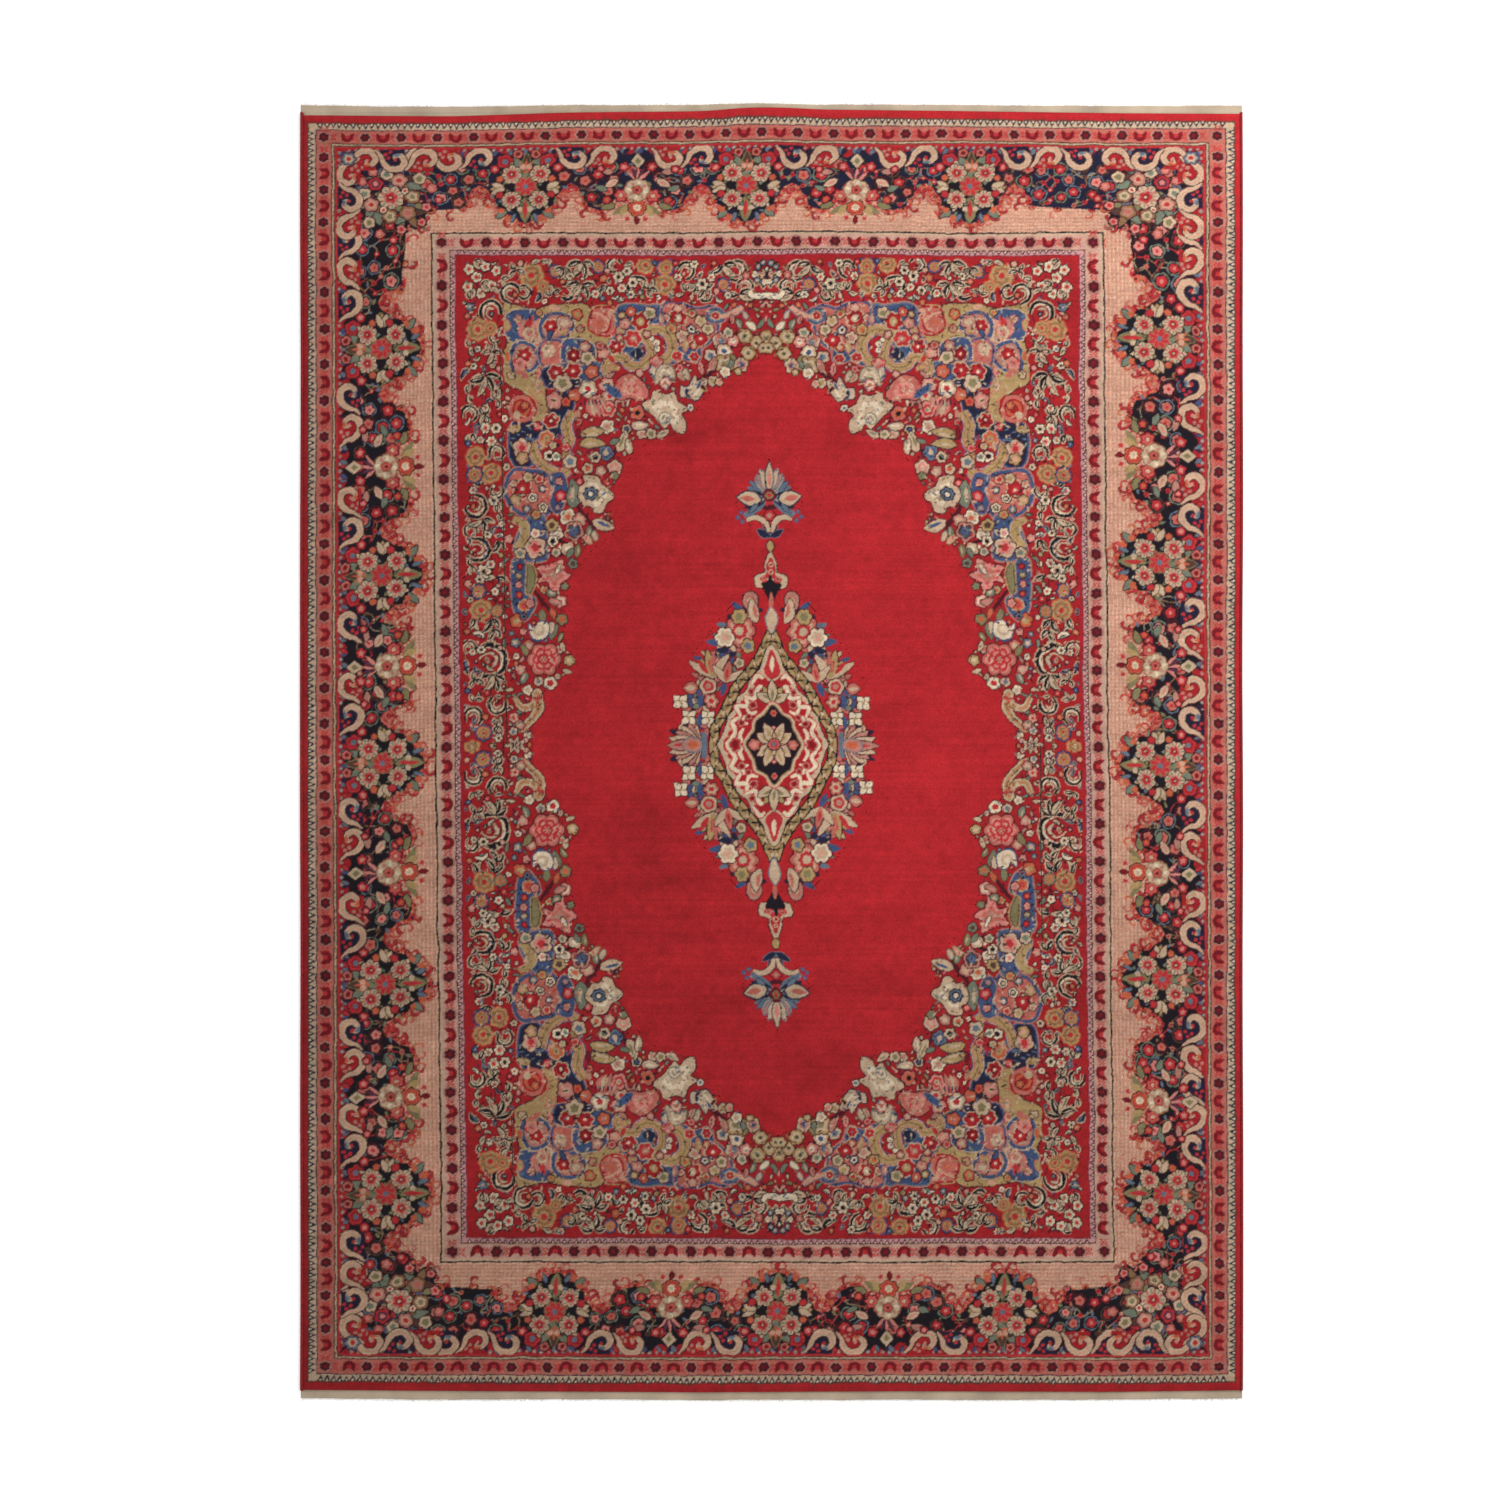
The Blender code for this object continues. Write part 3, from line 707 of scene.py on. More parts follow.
    # the lying run, from the corner to the middle
    gold_rosette(b, 70, 137, 3.4)
    gold_rosette(b, 66.6, 133.8, 1.8)
    gold_rosette(b, 63.2, 138.2, 1.2, "blue")
    for x, y, size, ring in ((36.8, 140, 2.5, None), (30.8, 139.4, 2.0, "blue"), (31, 134.4, 3.0, None),
            (14, 134.4, 1.2, "blue"), (50.6, 139.6, 1.2, "blue")):
        gold_rosette(b, x, y, size, ring)
    for x, y, size, turn, mirror in ((75.8, 131.8, 2.6, 20, 1), (45.6, 140, 2.0, 10, 1),
            (72, 132.2, 1.7, 170, 1), (39, 133.8, 2.6, 60, -1), (10.4, 138.2, 2.6, 190, -1),
            (25, 138.4, 2.2, 120, 1), (19, 131.6, 1.7, 300, 1), (59.4, 132.4, 2.2, 200, -1),
            (7.8, 133.8, 2.0, 100, 1)):
        curl(b, x, y, size, turn, mirror)
    for x, y, length, turns in ((55.4, 140.6, 4.8, (196, 226, 256, 284, 314, 344)),
            (55.2, 134.4, 5.0, (190, 220, 250, 290, 320, 350)),
            (20.2, 133.6, 3.8, (220, 250, 290, 320, 20, 160)), (14.4, 139.8, 5.0, (185, 215, 330)),
            (24.4, 132.6, 3.0, (100, 140, 60)), (35.6, 133.2, 3.2, (60, 110, 200, 250)),
            (49.4, 134.2, 3.4, (230, 270, 310)), (60.8, 139, 3.4, (210, 250, 300, 340)),
            (67.6, 141, 2.8, (200, 340)), (9.4, 131.4, 4.6, (160, 190, 20)),
            (28, 131.4, 2.6, (20, 160)), (74.6, 138.4, 3.2, (60, 120, 200, 300)),
            (63.8, 131.6, 3.0, (20, 70, 160)), (3.4, 136, 3.0, (60, 100, 260, 300)),
            (42.4, 140.6, 2.6, (200, 250))):
        feathers(b, x, y, length, turns)
    for x, y, r in ((44.6, 136.6, 1.6), (42, 138.2, 1.4), (40.4, 135, 1.5), (43.6, 133.4, 1.3),
            (40.8, 131.6, 1.3), (46.8, 132.6, 1.3), (20.2, 134.4, 1.8), (22.8, 140.2, 1.2),
            (17.4, 136.4, 1.2), (51.2, 131.8, 1.2), (65, 141, 1.0), (58.6, 136.8, 1.2),
            (12.6, 131.4, 1.1), (27.2, 136.6, 1.2)):
        flower(b.at(x, y), r, 6, ("ivory", "cream", "rose" if int(x) % 2 else "black"), "black", 0.32)
    for x, y, r, ink in ((73.4, 140.4, 0.8, "coral"), (61, 135.2, 0.8, "orange"),
            (48, 138.4, 0.8, "coral"), (34, 140.8, 0.7, "blue"), (28, 140.6, 0.8, "rose"),
            (17, 140.6, 0.7, "orange"), (7.6, 137, 1.1, "salmon"), (37.4, 130.8, 0.7, "gold"),
            (23, 130.9, 0.7, "coral")):
        dot(b.at(x, y), r, ink)
    # the middle of the end: an upright bud between two arcs, over a spread of white wings
    middle = b.at(-1.9, 0)
    middle.stroke([(8.4, 132.4), (7.4, 131.2), (3.4, 131.6), (0.9, 134.6)], 1.5, "ivory", 0.3, "black")
    middle.stroke([(0.4, 133.4), (2.2, 131), (0, 129.8)], 0.9, "cream", 0.3, "black")
    for k, (x, y) in enumerate(((4.8, 140.4), (3.2, 138.8), (2.9, 136.8), (4.2, 135.2), (6.2, 135.6),
            (6.9, 137.4), (6.2, 139.4))):
        flower(middle.at(x, y), 0.8, 5, ("ivory" if k % 2 else "steel", "cream"), "black", 0.2)
    middle.at(4.8, 137.4).shape(disc(0.8, 8), "coral", "black", 0.2)
    middle.at(0, 135.4, 90).shape(leaf(5.0, 2.2), "ivory", "black", 0.35)
    middle.at(0, 136.2, 90).fill(leaf(2.8, 0.9), "green")
    middle.at(0, 131.8).shape(disc(1.0, 10) * (0.8, 1.2), "orange", "black", 0.3)


def cell(b, pts, ink, line="blue", width=0.9, halo="blush"):
    """A closed cell of the spandrel: its ground, a coloured outline and a pale thread round that."""
    shape = smooth(pts)
    b.fill(grown(shape, width + 0.35), halo)
    b.fill(grown(shape, width), line)
    b.fill(shape, ink)


def ribbon(b, path, width):
    """A golden ribbon with a salmon and a cream edge, and a dark vein along it."""
    b.stroke(path, width + 1.0, "blue", 0.2)
    b.stroke(path, width + 0.4, "cream", 0.25)
    b.stroke(path, width - 0.1, "salmon", 0.25)
    b.stroke(path, width - 0.6, "gold", 0.25)
    b.stroke(path, 0.35, "tan", 0.3)


def petals(b, kind, marks):
    """Many small motifs of one kind, from a list of places, sizes, inks and, for some, turns."""
    for x, y, size, names, *turn in marks:
        inks = names.split()
        f = b.at(x, y, turn[0] if turn else (x * 37 + y * 53) % 72)
        if kind == "rosette":
            f.fill(lobed(size + 0.35, 6, 0.18), "cream")
            f.fill(lobed(size, 6, 0.24), inks[0])
            f.fill(disc(size * 0.46, 10), inks[1])
            f.fill(disc(size * 0.2, 7), inks[-1])
        elif kind == "bloom":
            flower(f, size, 5, inks, "maroon", 0.22)
        elif kind == "bead":
            f.shape(disc(size, 12), inks[0], "maroon", 0.22)
            f.fill(disc(size * 0.4, 8), inks[-1])
        elif kind == "leaf":
            f.shape(leaf(size, size * 0.46, size * 0.06), inks[0],
                inks[1] if len(inks) > 1 else "maroon", 0.28)
            if len(inks) > 2:
                f.at(size * 0.2, 0).fill(leaf(size * 0.6, size * 0.13), inks[2])


def spandrels(b):
    """Gold split leaves and cells of flowers outlined in blue, over the whole corner of the inner design."""
    b.fill([(-1, 100), (20, 100), (38, 80), (40, -2), (79, -2), (79, 131), (-2, 131)], "red")
    # deeper red where the stems cross
    for pts, w in (([(10, 121), (12, 116), (16, 110), (22, 106)], 1.6),
            ([(57, 78), (56, 70), (53, 66), (50, 60)], 1.3), ([(44, 90), (46, 84)], 2.4),
            ([(38, 104), (37, 98)], 1.4), ([(69, 46), (66, 42), (63, 38)], 1.2),
            ([(28, 106), (33, 105)], 1.4), ([(64, 53), (70, 48)], 1.0)):
        b.stroke(pts, w, "maroon", 0.6)
    # the corner: gold ground with a pink flower, two round cells and a salmon scroll
    b.shape(smooth([(78, 128.5), (70, 127.4), (66, 128), (60, 128.8), (53, 128.2), (52.4, 122),
        (46.6, 121), (46, 117.6), (52.4, 117.4), (56, 119.4), (60.5, 118.4), (66.4, 118), (66.8, 111),
        (65.6, 104), (65.8, 97), (69, 95), (69.8, 100), (72.4, 103.6), (77.4, 106), (78, 113),
        (76.4, 118)], steps=3), "gold", "maroon", 0.4)
    b.shape(smooth([(76.8, 126), (69, 127), (67.4, 122.8), (68.4, 118.8), (76, 118.2)], steps=3),
        "blue", "cream", 0.3)
    fan(b.at(70, 119.6, 122), 6.4, 7, 150, ("pink", "blush", "rose"), "salmon", 2.1)
    for x, y, r in ((70.2, 120.4, 1.9), (68.4, 118.6, 1.5), (73.6, 124.4, 1.0)):
        flower(b.at(x, y), r, 5, ("cream", "blush"), "salmon", 0.2)
    cell(b, [(66, 119.6), (66.2, 123.4), (63.4, 125.6), (59.6, 125), (58.6, 122), (60.6, 120),
        (63.4, 119)], "blush", width=1.1, halo="cream")
    cell(b, [(75, 114), (73.4, 117), (69.8, 116.4), (67.8, 113.2), (69.4, 110.4), (72.4, 109),
        (74.8, 110.6)], "blush", width=1.0, halo="cream")
    cell(b, [(66.4, 117.4), (61.6, 117.8), (60.4, 114), (61, 111), (66.2, 111.2)], "salmon", width=0.6)
    cell(b, [(59.6, 118), (53, 117.2), (51.8, 113.4), (54.4, 110.4), (60, 111.4)], "blue", width=0.5,
        halo="cream")
    cell(b, [(66, 109.4), (61, 111), (56, 111), (54.8, 107), (58.6, 103.2), (62, 104.6), (65.4, 105.2)],
        "navy", line="blue", width=0.5)
    cell(b, [(56, 109.6), (51.4, 111.6), (48.6, 109.6), (51.4, 107), (55, 107)], "blue", width=0.3,
        halo="gold")
    cell(b, [(66, 99), (62.4, 102.8), (58.6, 103), (57.4, 99.4), (60.4, 92), (63.4, 87), (66.6, 89.4),
        (66.4, 94.6)], "navy", width=0.4)
    cell(b, [(75.2, 93.6), (70, 94.4), (66.8, 91), (69.8, 88.6), (68.2, 84.4), (71, 81.6), (74.8, 82.6),
        (76, 88)], "navy", line="blue", width=0.5)
    b.stroke([(70, 104.6), (66.8, 101.6), (66.6, 97), (69.6, 94.8)], 2.6, "gold", 0.3, "salmon")
    cell(b, [(50, 127.6), (45.4, 126.6), (45.2, 121.2), (49.4, 119.8), (53, 122), (52.2, 126.4)],
        "salmon", line="red", width=0.6, halo="gold")
    for pts, w, ink in (([(52, 126.4), (48.6, 125), (47.4, 122), (50, 120.8)], 1.1, "coral"),
            ([(46.6, 124.4), (47.6, 121), (50.6, 120)], 0.8, "red"),
            ([(51.6, 123), (49.6, 123.6), (49, 122.4)], 0.7, "orange")):
        b.stroke(pts, w, ink, 0.5)
    b.at(46.4, 126).fill(disc(1.4, 10), "coral")
    for r, ink in ((4.4, "maroon"), (4.1, "salmon"), (2.9, "red"), (2.3, "orange"), (1.4, "red")):
        b.at(72.4, 98.2).fill(disc(r, 18), ink)
    b.at(73.8, 96.4).fill(disc(1.1, 10), "cream")
    b.stroke([(70, 102), (68.8, 100), (68.4, 96.6)], 0.9, "red", 0.5)
    # the upper run: a blue ground of flowers, a salmon cell, and the gold volute below them
    cell(b, [(45, 127), (42, 128.6), (36, 128), (33, 128.4), (30.6, 126), (30.4, 121.4), (33, 119),
        (38, 117), (41, 113.4), (45.6, 113), (47.4, 117), (45, 120.4)], "blue", line="steel", width=0.4)
    cell(b, [(31, 128.2), (27, 129), (22, 127.2), (16.8, 127.8), (15.6, 123.4), (17, 119),
        (20.6, 115.8), (22, 112.4), (25.6, 113.4), (29.4, 111.6), (30, 116), (29.4, 120.6), (31, 124)],
        "salmon", line="blue", width=0.7)
    cell(b, [(29.6, 113.4), (29, 116), (25, 115.6), (21, 115.6), (21.4, 112), (25.4, 112.6)], "blue",
        line="blue", width=0.3)
    cell(b, [(18, 126.8), (15, 127.2), (13.6, 125), (15.6, 123.6), (18, 124.4)], "steel", width=0.5)
    b.stroke([(15, 125), (11, 126.4), (8, 128.2)], 1.6, "coral", 0.5, "steel")
    volute = [(38.6, 117.6), (37, 120.2), (33, 121.4), (29.6, 119.4), (28.8, 115.4), (31, 112.2),
        (33.4, 113.4)]
    ribbon(b, volute, 3.0)
    b.fill(smooth([(36.4, 118.6), (33.6, 119.6), (31, 117.6), (31.6, 114), (34.6, 112.4), (36, 115)]),
        "red")
    loop = [(37.4, 119), (35.6, 116.4), (35.4, 112.8), (38, 110.4), (41.6, 110.8), (43.2, 113),
        (46.2, 112.8), (48.4, 110.6), (47.4, 107.6)]
    ribbon(b, loop, 2.5)
    b.shape(smooth([(41.2, 114), (38.6, 116), (37.4, 113.6), (39, 112.2)]), "navy", "steel", 0.3)
    petals(b, "bead", [(35, 118.6, 0.8, "ivory ivory"), (33.6, 117.2, 0.9, "ivory cream"),
        (33.4, 115.4, 0.8, "ivory ivory")])
    # the side run: a gold volute, a salmon cell, a blue ground and a blue stem
    left = [(57.6, 97.4), (59.4, 93.6), (58.6, 89), (60.4, 85.6), (58, 84)]
    right = [(69.4, 88.6), (68.4, 84.4), (65, 80.6), (61, 79.4), (58.6, 80.6)]
    for arc in (left, right):
        ribbon(b, arc, 2.9)
    b.fill(smooth([(66.4, 87), (64.4, 90), (61, 89), (60.6, 86), (61, 82.6), (64, 82.4), (66.6, 84)]),
        "red")
    cell(b, [(76.4, 77), (74.4, 80.2), (69, 79.6), (65.4, 78.4), (63.4, 74), (64.8, 69.4), (67.4, 66.6),
        (71, 67.6), (74.4, 69.6), (76.4, 73)], "salmon", line="blue", width=1.0)
    cell(b, [(64.4, 78.4), (61, 79.4), (59.6, 75.4), (60.4, 70.4), (62.4, 68), (64, 71), (63, 74.6)],
        "blue", line="blue", width=0.4)
    cell(b, [(70.4, 66.6), (66.2, 67), (65.4, 60), (65.6, 55), (70.6, 54.6), (74.4, 56.6), (73.4, 62)],
        "blue", line="steel", width=0.4)
    b.stroke([(75, 66.4), (71.8, 64.6), (71.8, 61), (74.2, 58)], 2.4, "gold", 0.4, "cream")
    cell(b, [(75.2, 54), (72.2, 54.6), (71.4, 49), (71.8, 45), (68.8, 43.4), (69.2, 40.6), (72, 37),
        (74.4, 39), (75.4, 46)], "blue", line="steel", width=0.3)
    cell(b, [(70.6, 53), (68.8, 51), (69.4, 46.4), (70.8, 45.4)], "olive", line="brown", width=0.3,
        halo="gold")
    petals(b, "rosette", [(64, 122.2, 2.1, "red rose ivory"), (71.6, 114, 2.2, "red rose ivory"),
        (57.4, 113.9, 2.1, "deep red ivory"), (62.2, 108.8, 2.4, "red rose ivory"),
        (57.4, 109.2, 2.4, "red rose ivory"), (45.2, 116.2, 2.3, "red rose ivory"),
        (64, 94.8, 2.3, "red deep ivory"), (27, 124.6, 2.6, "red cream ivory"),
        (20.7, 118.6, 2.5, "red rose ivory"), (38.2, 123.6, 2.7, "red gold cream"),
        (40.4, 118.6, 2.5, "rose salmon cream"), (72.2, 75, 2.8, "red rose ivory"),
        (27.4, 113.4, 1.5, "rose red cream"), (22.4, 113.2, 1.4, "red rose steel"),
        (16, 125.4, 1.2, "red rose cream"), (71.8, 41.5, 1.7, "orange rose orange"),
        (65.2, 89.6, 2.2, "orange gold blush"), (64.6, 115.4, 1.7, "cream coral ivory")])
    petals(b, "bloom", [(60.2, 123.4, 2.3, "blush cream"), (72.8, 111.2, 2.2, "pink blush"),
        (60.4, 105.6, 2.6, "cream olive"), (52, 109, 1.9, "orange salmon"),
        (56.8, 102.2, 1.9, "orange salmon"), (62.8, 100.6, 2.5, "blush pink cream"),
        (59.4, 100.2, 1.3, "orange rose"), (72.4, 87, 2.7, "cream pink rose"),
        (72.2, 84, 1.8, "gold coral"), (68, 93, 1.2, "rose pink"), (53.4, 113, 2.0, "cream olive"),
        (54.2, 116.4, 1.6, "blush cream"), (49, 114.4, 1.7, "pink coral"),
        (50, 116.6, 1.2, "blush rose"), (44, 121, 1.4, "blush gold"),
        (41, 126.4, 1.4, "orange rose cream"), (35.4, 126, 1.9, "cream olive"),
        (42.6, 123, 1.6, "blush coral"), (43.6, 125.6, 1.0, "gold cream"),
        (36.4, 119.8, 1.2, "blush cream"), (44.2, 118.8, 1.2, "salmon cream"),
        (23.3, 121.3, 1.3, "steel ivory black"), (20.4, 124, 1.7, "cream gold"),
        (18.4, 121.4, 1.7, "cream olive"), (26, 119.2, 1.8, "cream blush"),
        (29, 121.4, 1.5, "gold orange"), (27, 127.6, 1.3, "pink cream"), (23, 126, 1.2, "gold rose"),
        (30.4, 124.6, 1.2, "cream salmon"), (22.6, 116.4, 1.1, "orange cream"),
        (69.3, 72.5, 1.4, "ivory black ivory"), (66.5, 75, 1.0, "steel ivory"),
        (71, 69.2, 1.2, "steel cream"), (66.3, 69.6, 1.4, "ivory black cream"),
        (70.6, 78.4, 1.5, "cream gold"), (74.4, 72, 1.5, "gold coral"), (75, 76.6, 1.1, "cream salmon"),
        (67.4, 78, 1.3, "coral rose"), (68.4, 67.6, 1.3, "gold orange"), (61.2, 73, 1.7, "rose pink"),
        (61.6, 77.2, 1.1, "pink blush"), (62, 69.6, 1.0, "steel blush"),
        (68.5, 58.2, 3.2, "cream pink rose"), (68.4, 62.2, 1.4, "ivory pink"),
        (73, 56.6, 1.7, "cream green"), (73.2, 52.6, 0.8, "red rose"), (73.4, 47.4, 1.0, "pink blush"),
        (70, 42, 1.2, "pink blush"), (73.2, 44.6, 0.9, "rose orange"), (74, 37, 2.0, "orange gold"),
        (72, 38.2, 0.9, "steel navy"), (73.4, 50, 1.0, "olive cream"), (64.6, 84.6, 1.6, "ivory black"),
        (62.4, 84.4, 1.4, "ivory green"), (58.4, 83, 2.1, "cream steel"),
        (63.4, 87.6, 1.1, "cream gold"), (67.6, 126.4, 1.0, "gold orange"),
        (56.4, 125.8, 1.6, "orange gold"), (55.6, 121.6, 1.2, "blush gold"),
        (75.4, 108, 1.2, "cream gold")])
    petals(b, "leaf", [(63.4, 121, 2.6, "blue navy", -60), (68, 107, 3.4, "pink maroon cream", 100),
        (67.6, 103, 3.0, "cream salmon", 80), (72.6, 92.6, 4.4, "gold navy cream", -12),
        (32, 122.6, 3.6, "blush blue cream", 86), (24.6, 118, 3.4, "gold salmon cream", -80),
        (46, 111.4, 3.0, "rose gold", 60), (44.4, 109.4, 3.2, "gold salmon", 20),
        (59.4, 120, 3.0, "gold salmon", 20), (76.6, 112, 3.0, "orange gold", 88),
        (76.8, 121, 3.4, "gold salmon", 88), (61.6, 127.4, 3.2, "coral gold", 8),
        (70.4, 107, 4.4, "salmon gold", 30), (56.6, 95, 3.0, "blush gold", 100),
        (66.8, 86.4, 2.6, "coral gold", 100)])
    edge_chain(b)


def edge_chain(b):
    """Flowers and leaves along the scalloped edge of the field."""
    # the middle, above the apex
    for x, y, r in ((1.4, 119, 2.3), (4.2, 117.6, 1.9), (7.6, 119.6, 2.1), (6.6, 114.6, 2.1),
            (2.2, 116, 1.6)):
        flower(b.at(x, y), r, 6, ("gold", "cream", "olive"), "maroon", 0.14)
        b.at(x, y).fill(disc(0.35, 6), "black")
    flower(b.at(-1.6, 124.6), 3.5, 6, ("pink", "rose", "pink", "blue"), "rose", 0.22)
    b.at(-1.6, 122.6, 90).fill(leaf(3.8, 1.3), "blue")
    petals(b, "leaf", [(4.6, 121.4, 3.4, "ivory green", 40),
        (8.6, 121.6, 3.6, "green maroon cream", 66), (6.6, 126, 1.8, "olive", 0),
        (7, 124.6, 2.6, "cream steel", 60), (3.4, 127, 2.0, "olive", 20),
        (11.2, 123, 3.0, "blush maroon rose", 80), (9.8, 118.6, 3.2, "pink maroon cream", 20)])
    petals(b, "bloom", [(14.4, 118, 2.6, "cream blush steel"), (13.6, 115, 2.2, "cream ivory blue"),
        (11, 118, 1.8, "pink ivory"), (12.4, 120.6, 1.5, "cream green"),
        (17.6, 113.6, 1.9, "cream steel"), (13.6, 111, 3.0, "gold cream olive"),
        (13.4, 108.8, 1.6, "ivory cream"), (8.8, 111, 2.2, "cream blush blue"),
        (9.6, 109, 1.0, "gold cream"), (17.2, 106, 1.6, "cream gold"), (15.4, 105.8, 1.2, "cream pink"),
        (26.8, 110, 1.0, "pink rose"), (31, 105.4, 1.9, "pink ivory salmon"),
        (33.6, 111.4, 1.9, "pink blush"), (38.5, 108.4, 1.1, "pink cream"),
        (47.6, 105, 2.2, "pink cream deep"), (46.8, 102, 2.2, "blush cream rose"),
        (47.2, 98, 2.4, "pink rose cream"), (53, 104, 2.7, "cream ivory rose"),
        (44, 99.4, 1.6, "blush brown"), (43.6, 97, 1.3, "olive cream"),
        (47.5, 93, 2.1, "ivory cream blush"), (42, 92.4, 1.4, "cream black blue"),
        (48, 85.6, 2.3, "steel blue cream"), (51, 84.4, 1.7, "cream black"),
        (39, 97, 2.2, "salmon orange black"), (37.4, 91, 1.4, "cream blush"),
        (35, 91, 1.5, "cream olive"), (53.3, 81, 1.6, "cream orange"), (49.5, 80.4, 1.6, "blush cream"),
        (45.4, 81.4, 2.2, "cream pink cream"), (45.4, 79, 1.2, "olive green"),
        (23.6, 98.6, 1.0, "ivory steel"), (59, 66.8, 2.4, "ivory cream orange"),
        (55.6, 66, 2.0, "blush coral cream"), (57.3, 62.8, 2.9, "blush brown blue steel"),
        (62.4, 62, 2.1, "ivory cream ivory"), (61, 58, 2.3, "black rose ivory"),
        (58.8, 57.6, 2.0, "cream ivory"), (63.6, 64.6, 1.9, "gold brown"),
        (63.4, 60, 1.6, "ivory black"), (62.4, 56.8, 1.3, "cream green"),
        (57.6, 53.6, 1.4, "green brown"), (60, 47, 1.1, "olive green"), (66, 46, 1.1, "gold orange"),
        (63.8, 45.4, 1.5, "green cream"), (61.4, 42.6, 1.9, "pink ivory rose"),
        (61, 37.4, 1.7, "olive orange"), (66, 25.4, 1.2, "cream rose"), (58.6, 25.2, 1.6, "gold cream"),
        (64.2, 18.5, 1.9, "ivory rose"), (67.6, 19, 1.4, "cream steel"),
        (61.6, 28.4, 1.3, "cream salmon"), (70.6, 29.8, 1.6, "salmon cream"),
        (72.6, 22.6, 1.5, "pink cream"), (74.4, 30.4, 1.4, "steel cream"), (55.6, 77, 1.2, "rose pink"),
        (59.6, 87, 1.2, "pink rose"), (55.8, 94.4, 1.0, "blush rose"), (36.6, 104, 1.0, "green cream")])
    petals(b, "leaf", [(18, 109, 4.6, "blush maroon salmon", 110),
        (20.4, 108, 4.0, "pink maroon brown", 80), (12, 110, 3.2, "green black", 100),
        (10.6, 112, 2.6, "olive maroon", 60), (25.4, 109.6, 3.4, "cream green", -110),
        (27.4, 108.6, 3.2, "cream brown", -130), (34.4, 110.6, 4.4, "cream blue ivory", -100),
        (48, 107.4, 3.0, "blush black", 150), (42.6, 96, 4.0, "red deep", 60),
        (33.4, 90.2, 4.2, "cream maroon green", 150), (40.6, 93.4, 5.0, "cream navy ivory", 176),
        (36, 99.6, 2.8, "green brown", 70), (57.8, 69.4, 8.6, "green maroon cream", 90),
        (51.8, 66, 7.0, "cream maroon blue", 200), (52.4, 64.2, 3.4, "green brown cream", -80),
        (51.4, 62.8, 3.0, "cream green", -110), (54, 61.8, 3.4, "coral olive", -130),
        (55.6, 59, 3.8, "olive brown cream", -80), (57.4, 57.8, 3.2, "green brown", -60),
        (64.6, 43.4, 4.0, "blush brown pink", 200), (66.8, 40.4, 4.2, "olive brown green", -100),
        (64, 40.8, 3.4, "orange brown", -110), (62.4, 36, 5.0, "green brown olive", -70),
        (63.8, 37, 4.0, "cream brown", -90), (60.4, 33.4, 3.2, "olive maroon cream", -60),
        (70, 35.4, 3.0, "steel maroon", -120), (61, 30.8, 3.2, "cream maroon", -110),
        (71, 26.6, 4.0, "olive maroon", 60), (72.6, 18.4, 4.2, "green maroon cream", 110),
        (60.4, 22.6, 2.8, "cream maroon", 200), (69, 15.4, 3.6, "steel maroon cream", 40),
        (50.6, 96.6, 3.0, "blush maroon", 60), (56, 89.6, 3.2, "deep maroon", 90),
        (44.6, 86, 6.4, "cream maroon olive", 112), (41.2, 85.2, 4.6, "cream maroon ivory", 80),
        (46.8, 88.6, 3.0, "green maroon", 160), (38, 101.4, 2.6, "maroon black", 200),
        (67, 31, 2.6, "blue maroon", 10)])
    # a fringed palmette and a leaf with a navy edge, beside the gold volutes
    fan(b.at(51.6, 101.4, 250), 6.0, 7, 76, ("blush", "cream", "pink"), "salmon", 1.0)
    for k in range(5):
        b.at(49.6 + k * 1.1, 99.2, 90).fill(leaf(2.0, 0.5), "navy")
    for x, y, turn in ((55.4, 90, -14), (55.6, 87.6, -4)):
        b.at(x, y, 180 + turn).shape(leaf(7.6, 2.9, -0.5), "gold", "navy", 0.35)
        b.at(x - 1.4, y, 180 + turn).fill(leaf(4.6, 0.9, -0.3), "cream")
    # the large lilies
    lilies = (([(37.5, 99.5), (35, 101), (34.5, 103.2), (31, 102.2), (28.4, 102.6), (27.2, 100),
        (24.4, 98), (26.6, 96.6), (25, 94.4), (25.4, 91.3), (28.2, 92), (29.4, 94), (31, 92.6),
        (32.6, 94.4), (34.2, 96.2), (36, 97.4)], "cream", "maroon"),
        ([(45.4, 105.4), (41.4, 108.2), (37.6, 106), (35.8, 102.4), (38, 100.6), (41, 101.4),
        (44.6, 101)], "salmon", "maroon"), ([(26.4, 104.6), (24.4, 104.4), (22.4, 107.6), (21.4, 105.6),
        (18.8, 106.4), (20, 103), (22, 100.6), (24.2, 101.4), (26.4, 101.6)], "cream", "navy"),
        ([(54.4, 79), (50.4, 78.6), (49.2, 76.2), (45.8, 73.8), (46, 72.2), (47.8, 71), (48.8, 68.4),
        (51, 68.2), (52.2, 70), (54.4, 70.2), (56, 72.6), (55.8, 75.4), (54, 76.6)], "cream", "maroon"),
        ([(68, 52.6), (64.8, 53.2), (60.4, 54.8), (60.4, 51.6), (58.2, 50.4), (60, 48.8), (61.6, 47.8),
        (62, 45.8), (64.2, 46.4), (65.2, 48.6), (68, 48), (66.6, 50.2)], "pink", "maroon"),
        ([(33.8, 105), (33.4, 109), (31.4, 110.8), (28.8, 109.6), (28.4, 106.6), (30, 107.6),
        (32, 107.4)], "cream", "green"), ([(70.4, 36.2), (69, 34.4), (67.4, 36.8), (65, 36.2),
        (64.8, 33), (67.4, 31.4), (69.8, 32.4)], "ivory", "blue"),)
    for pts, ink, line in lilies:
        shape = smooth(pts, steps=3)
        b.shape(shape, ink, line, 0.35)
        middle = shape.mean(axis=0)
        b.fill((shape - middle) * 0.62 + middle, {"cream": "ivory", "salmon": "pink", "pink": "salmon",
            "ivory": "cream"}[ink])
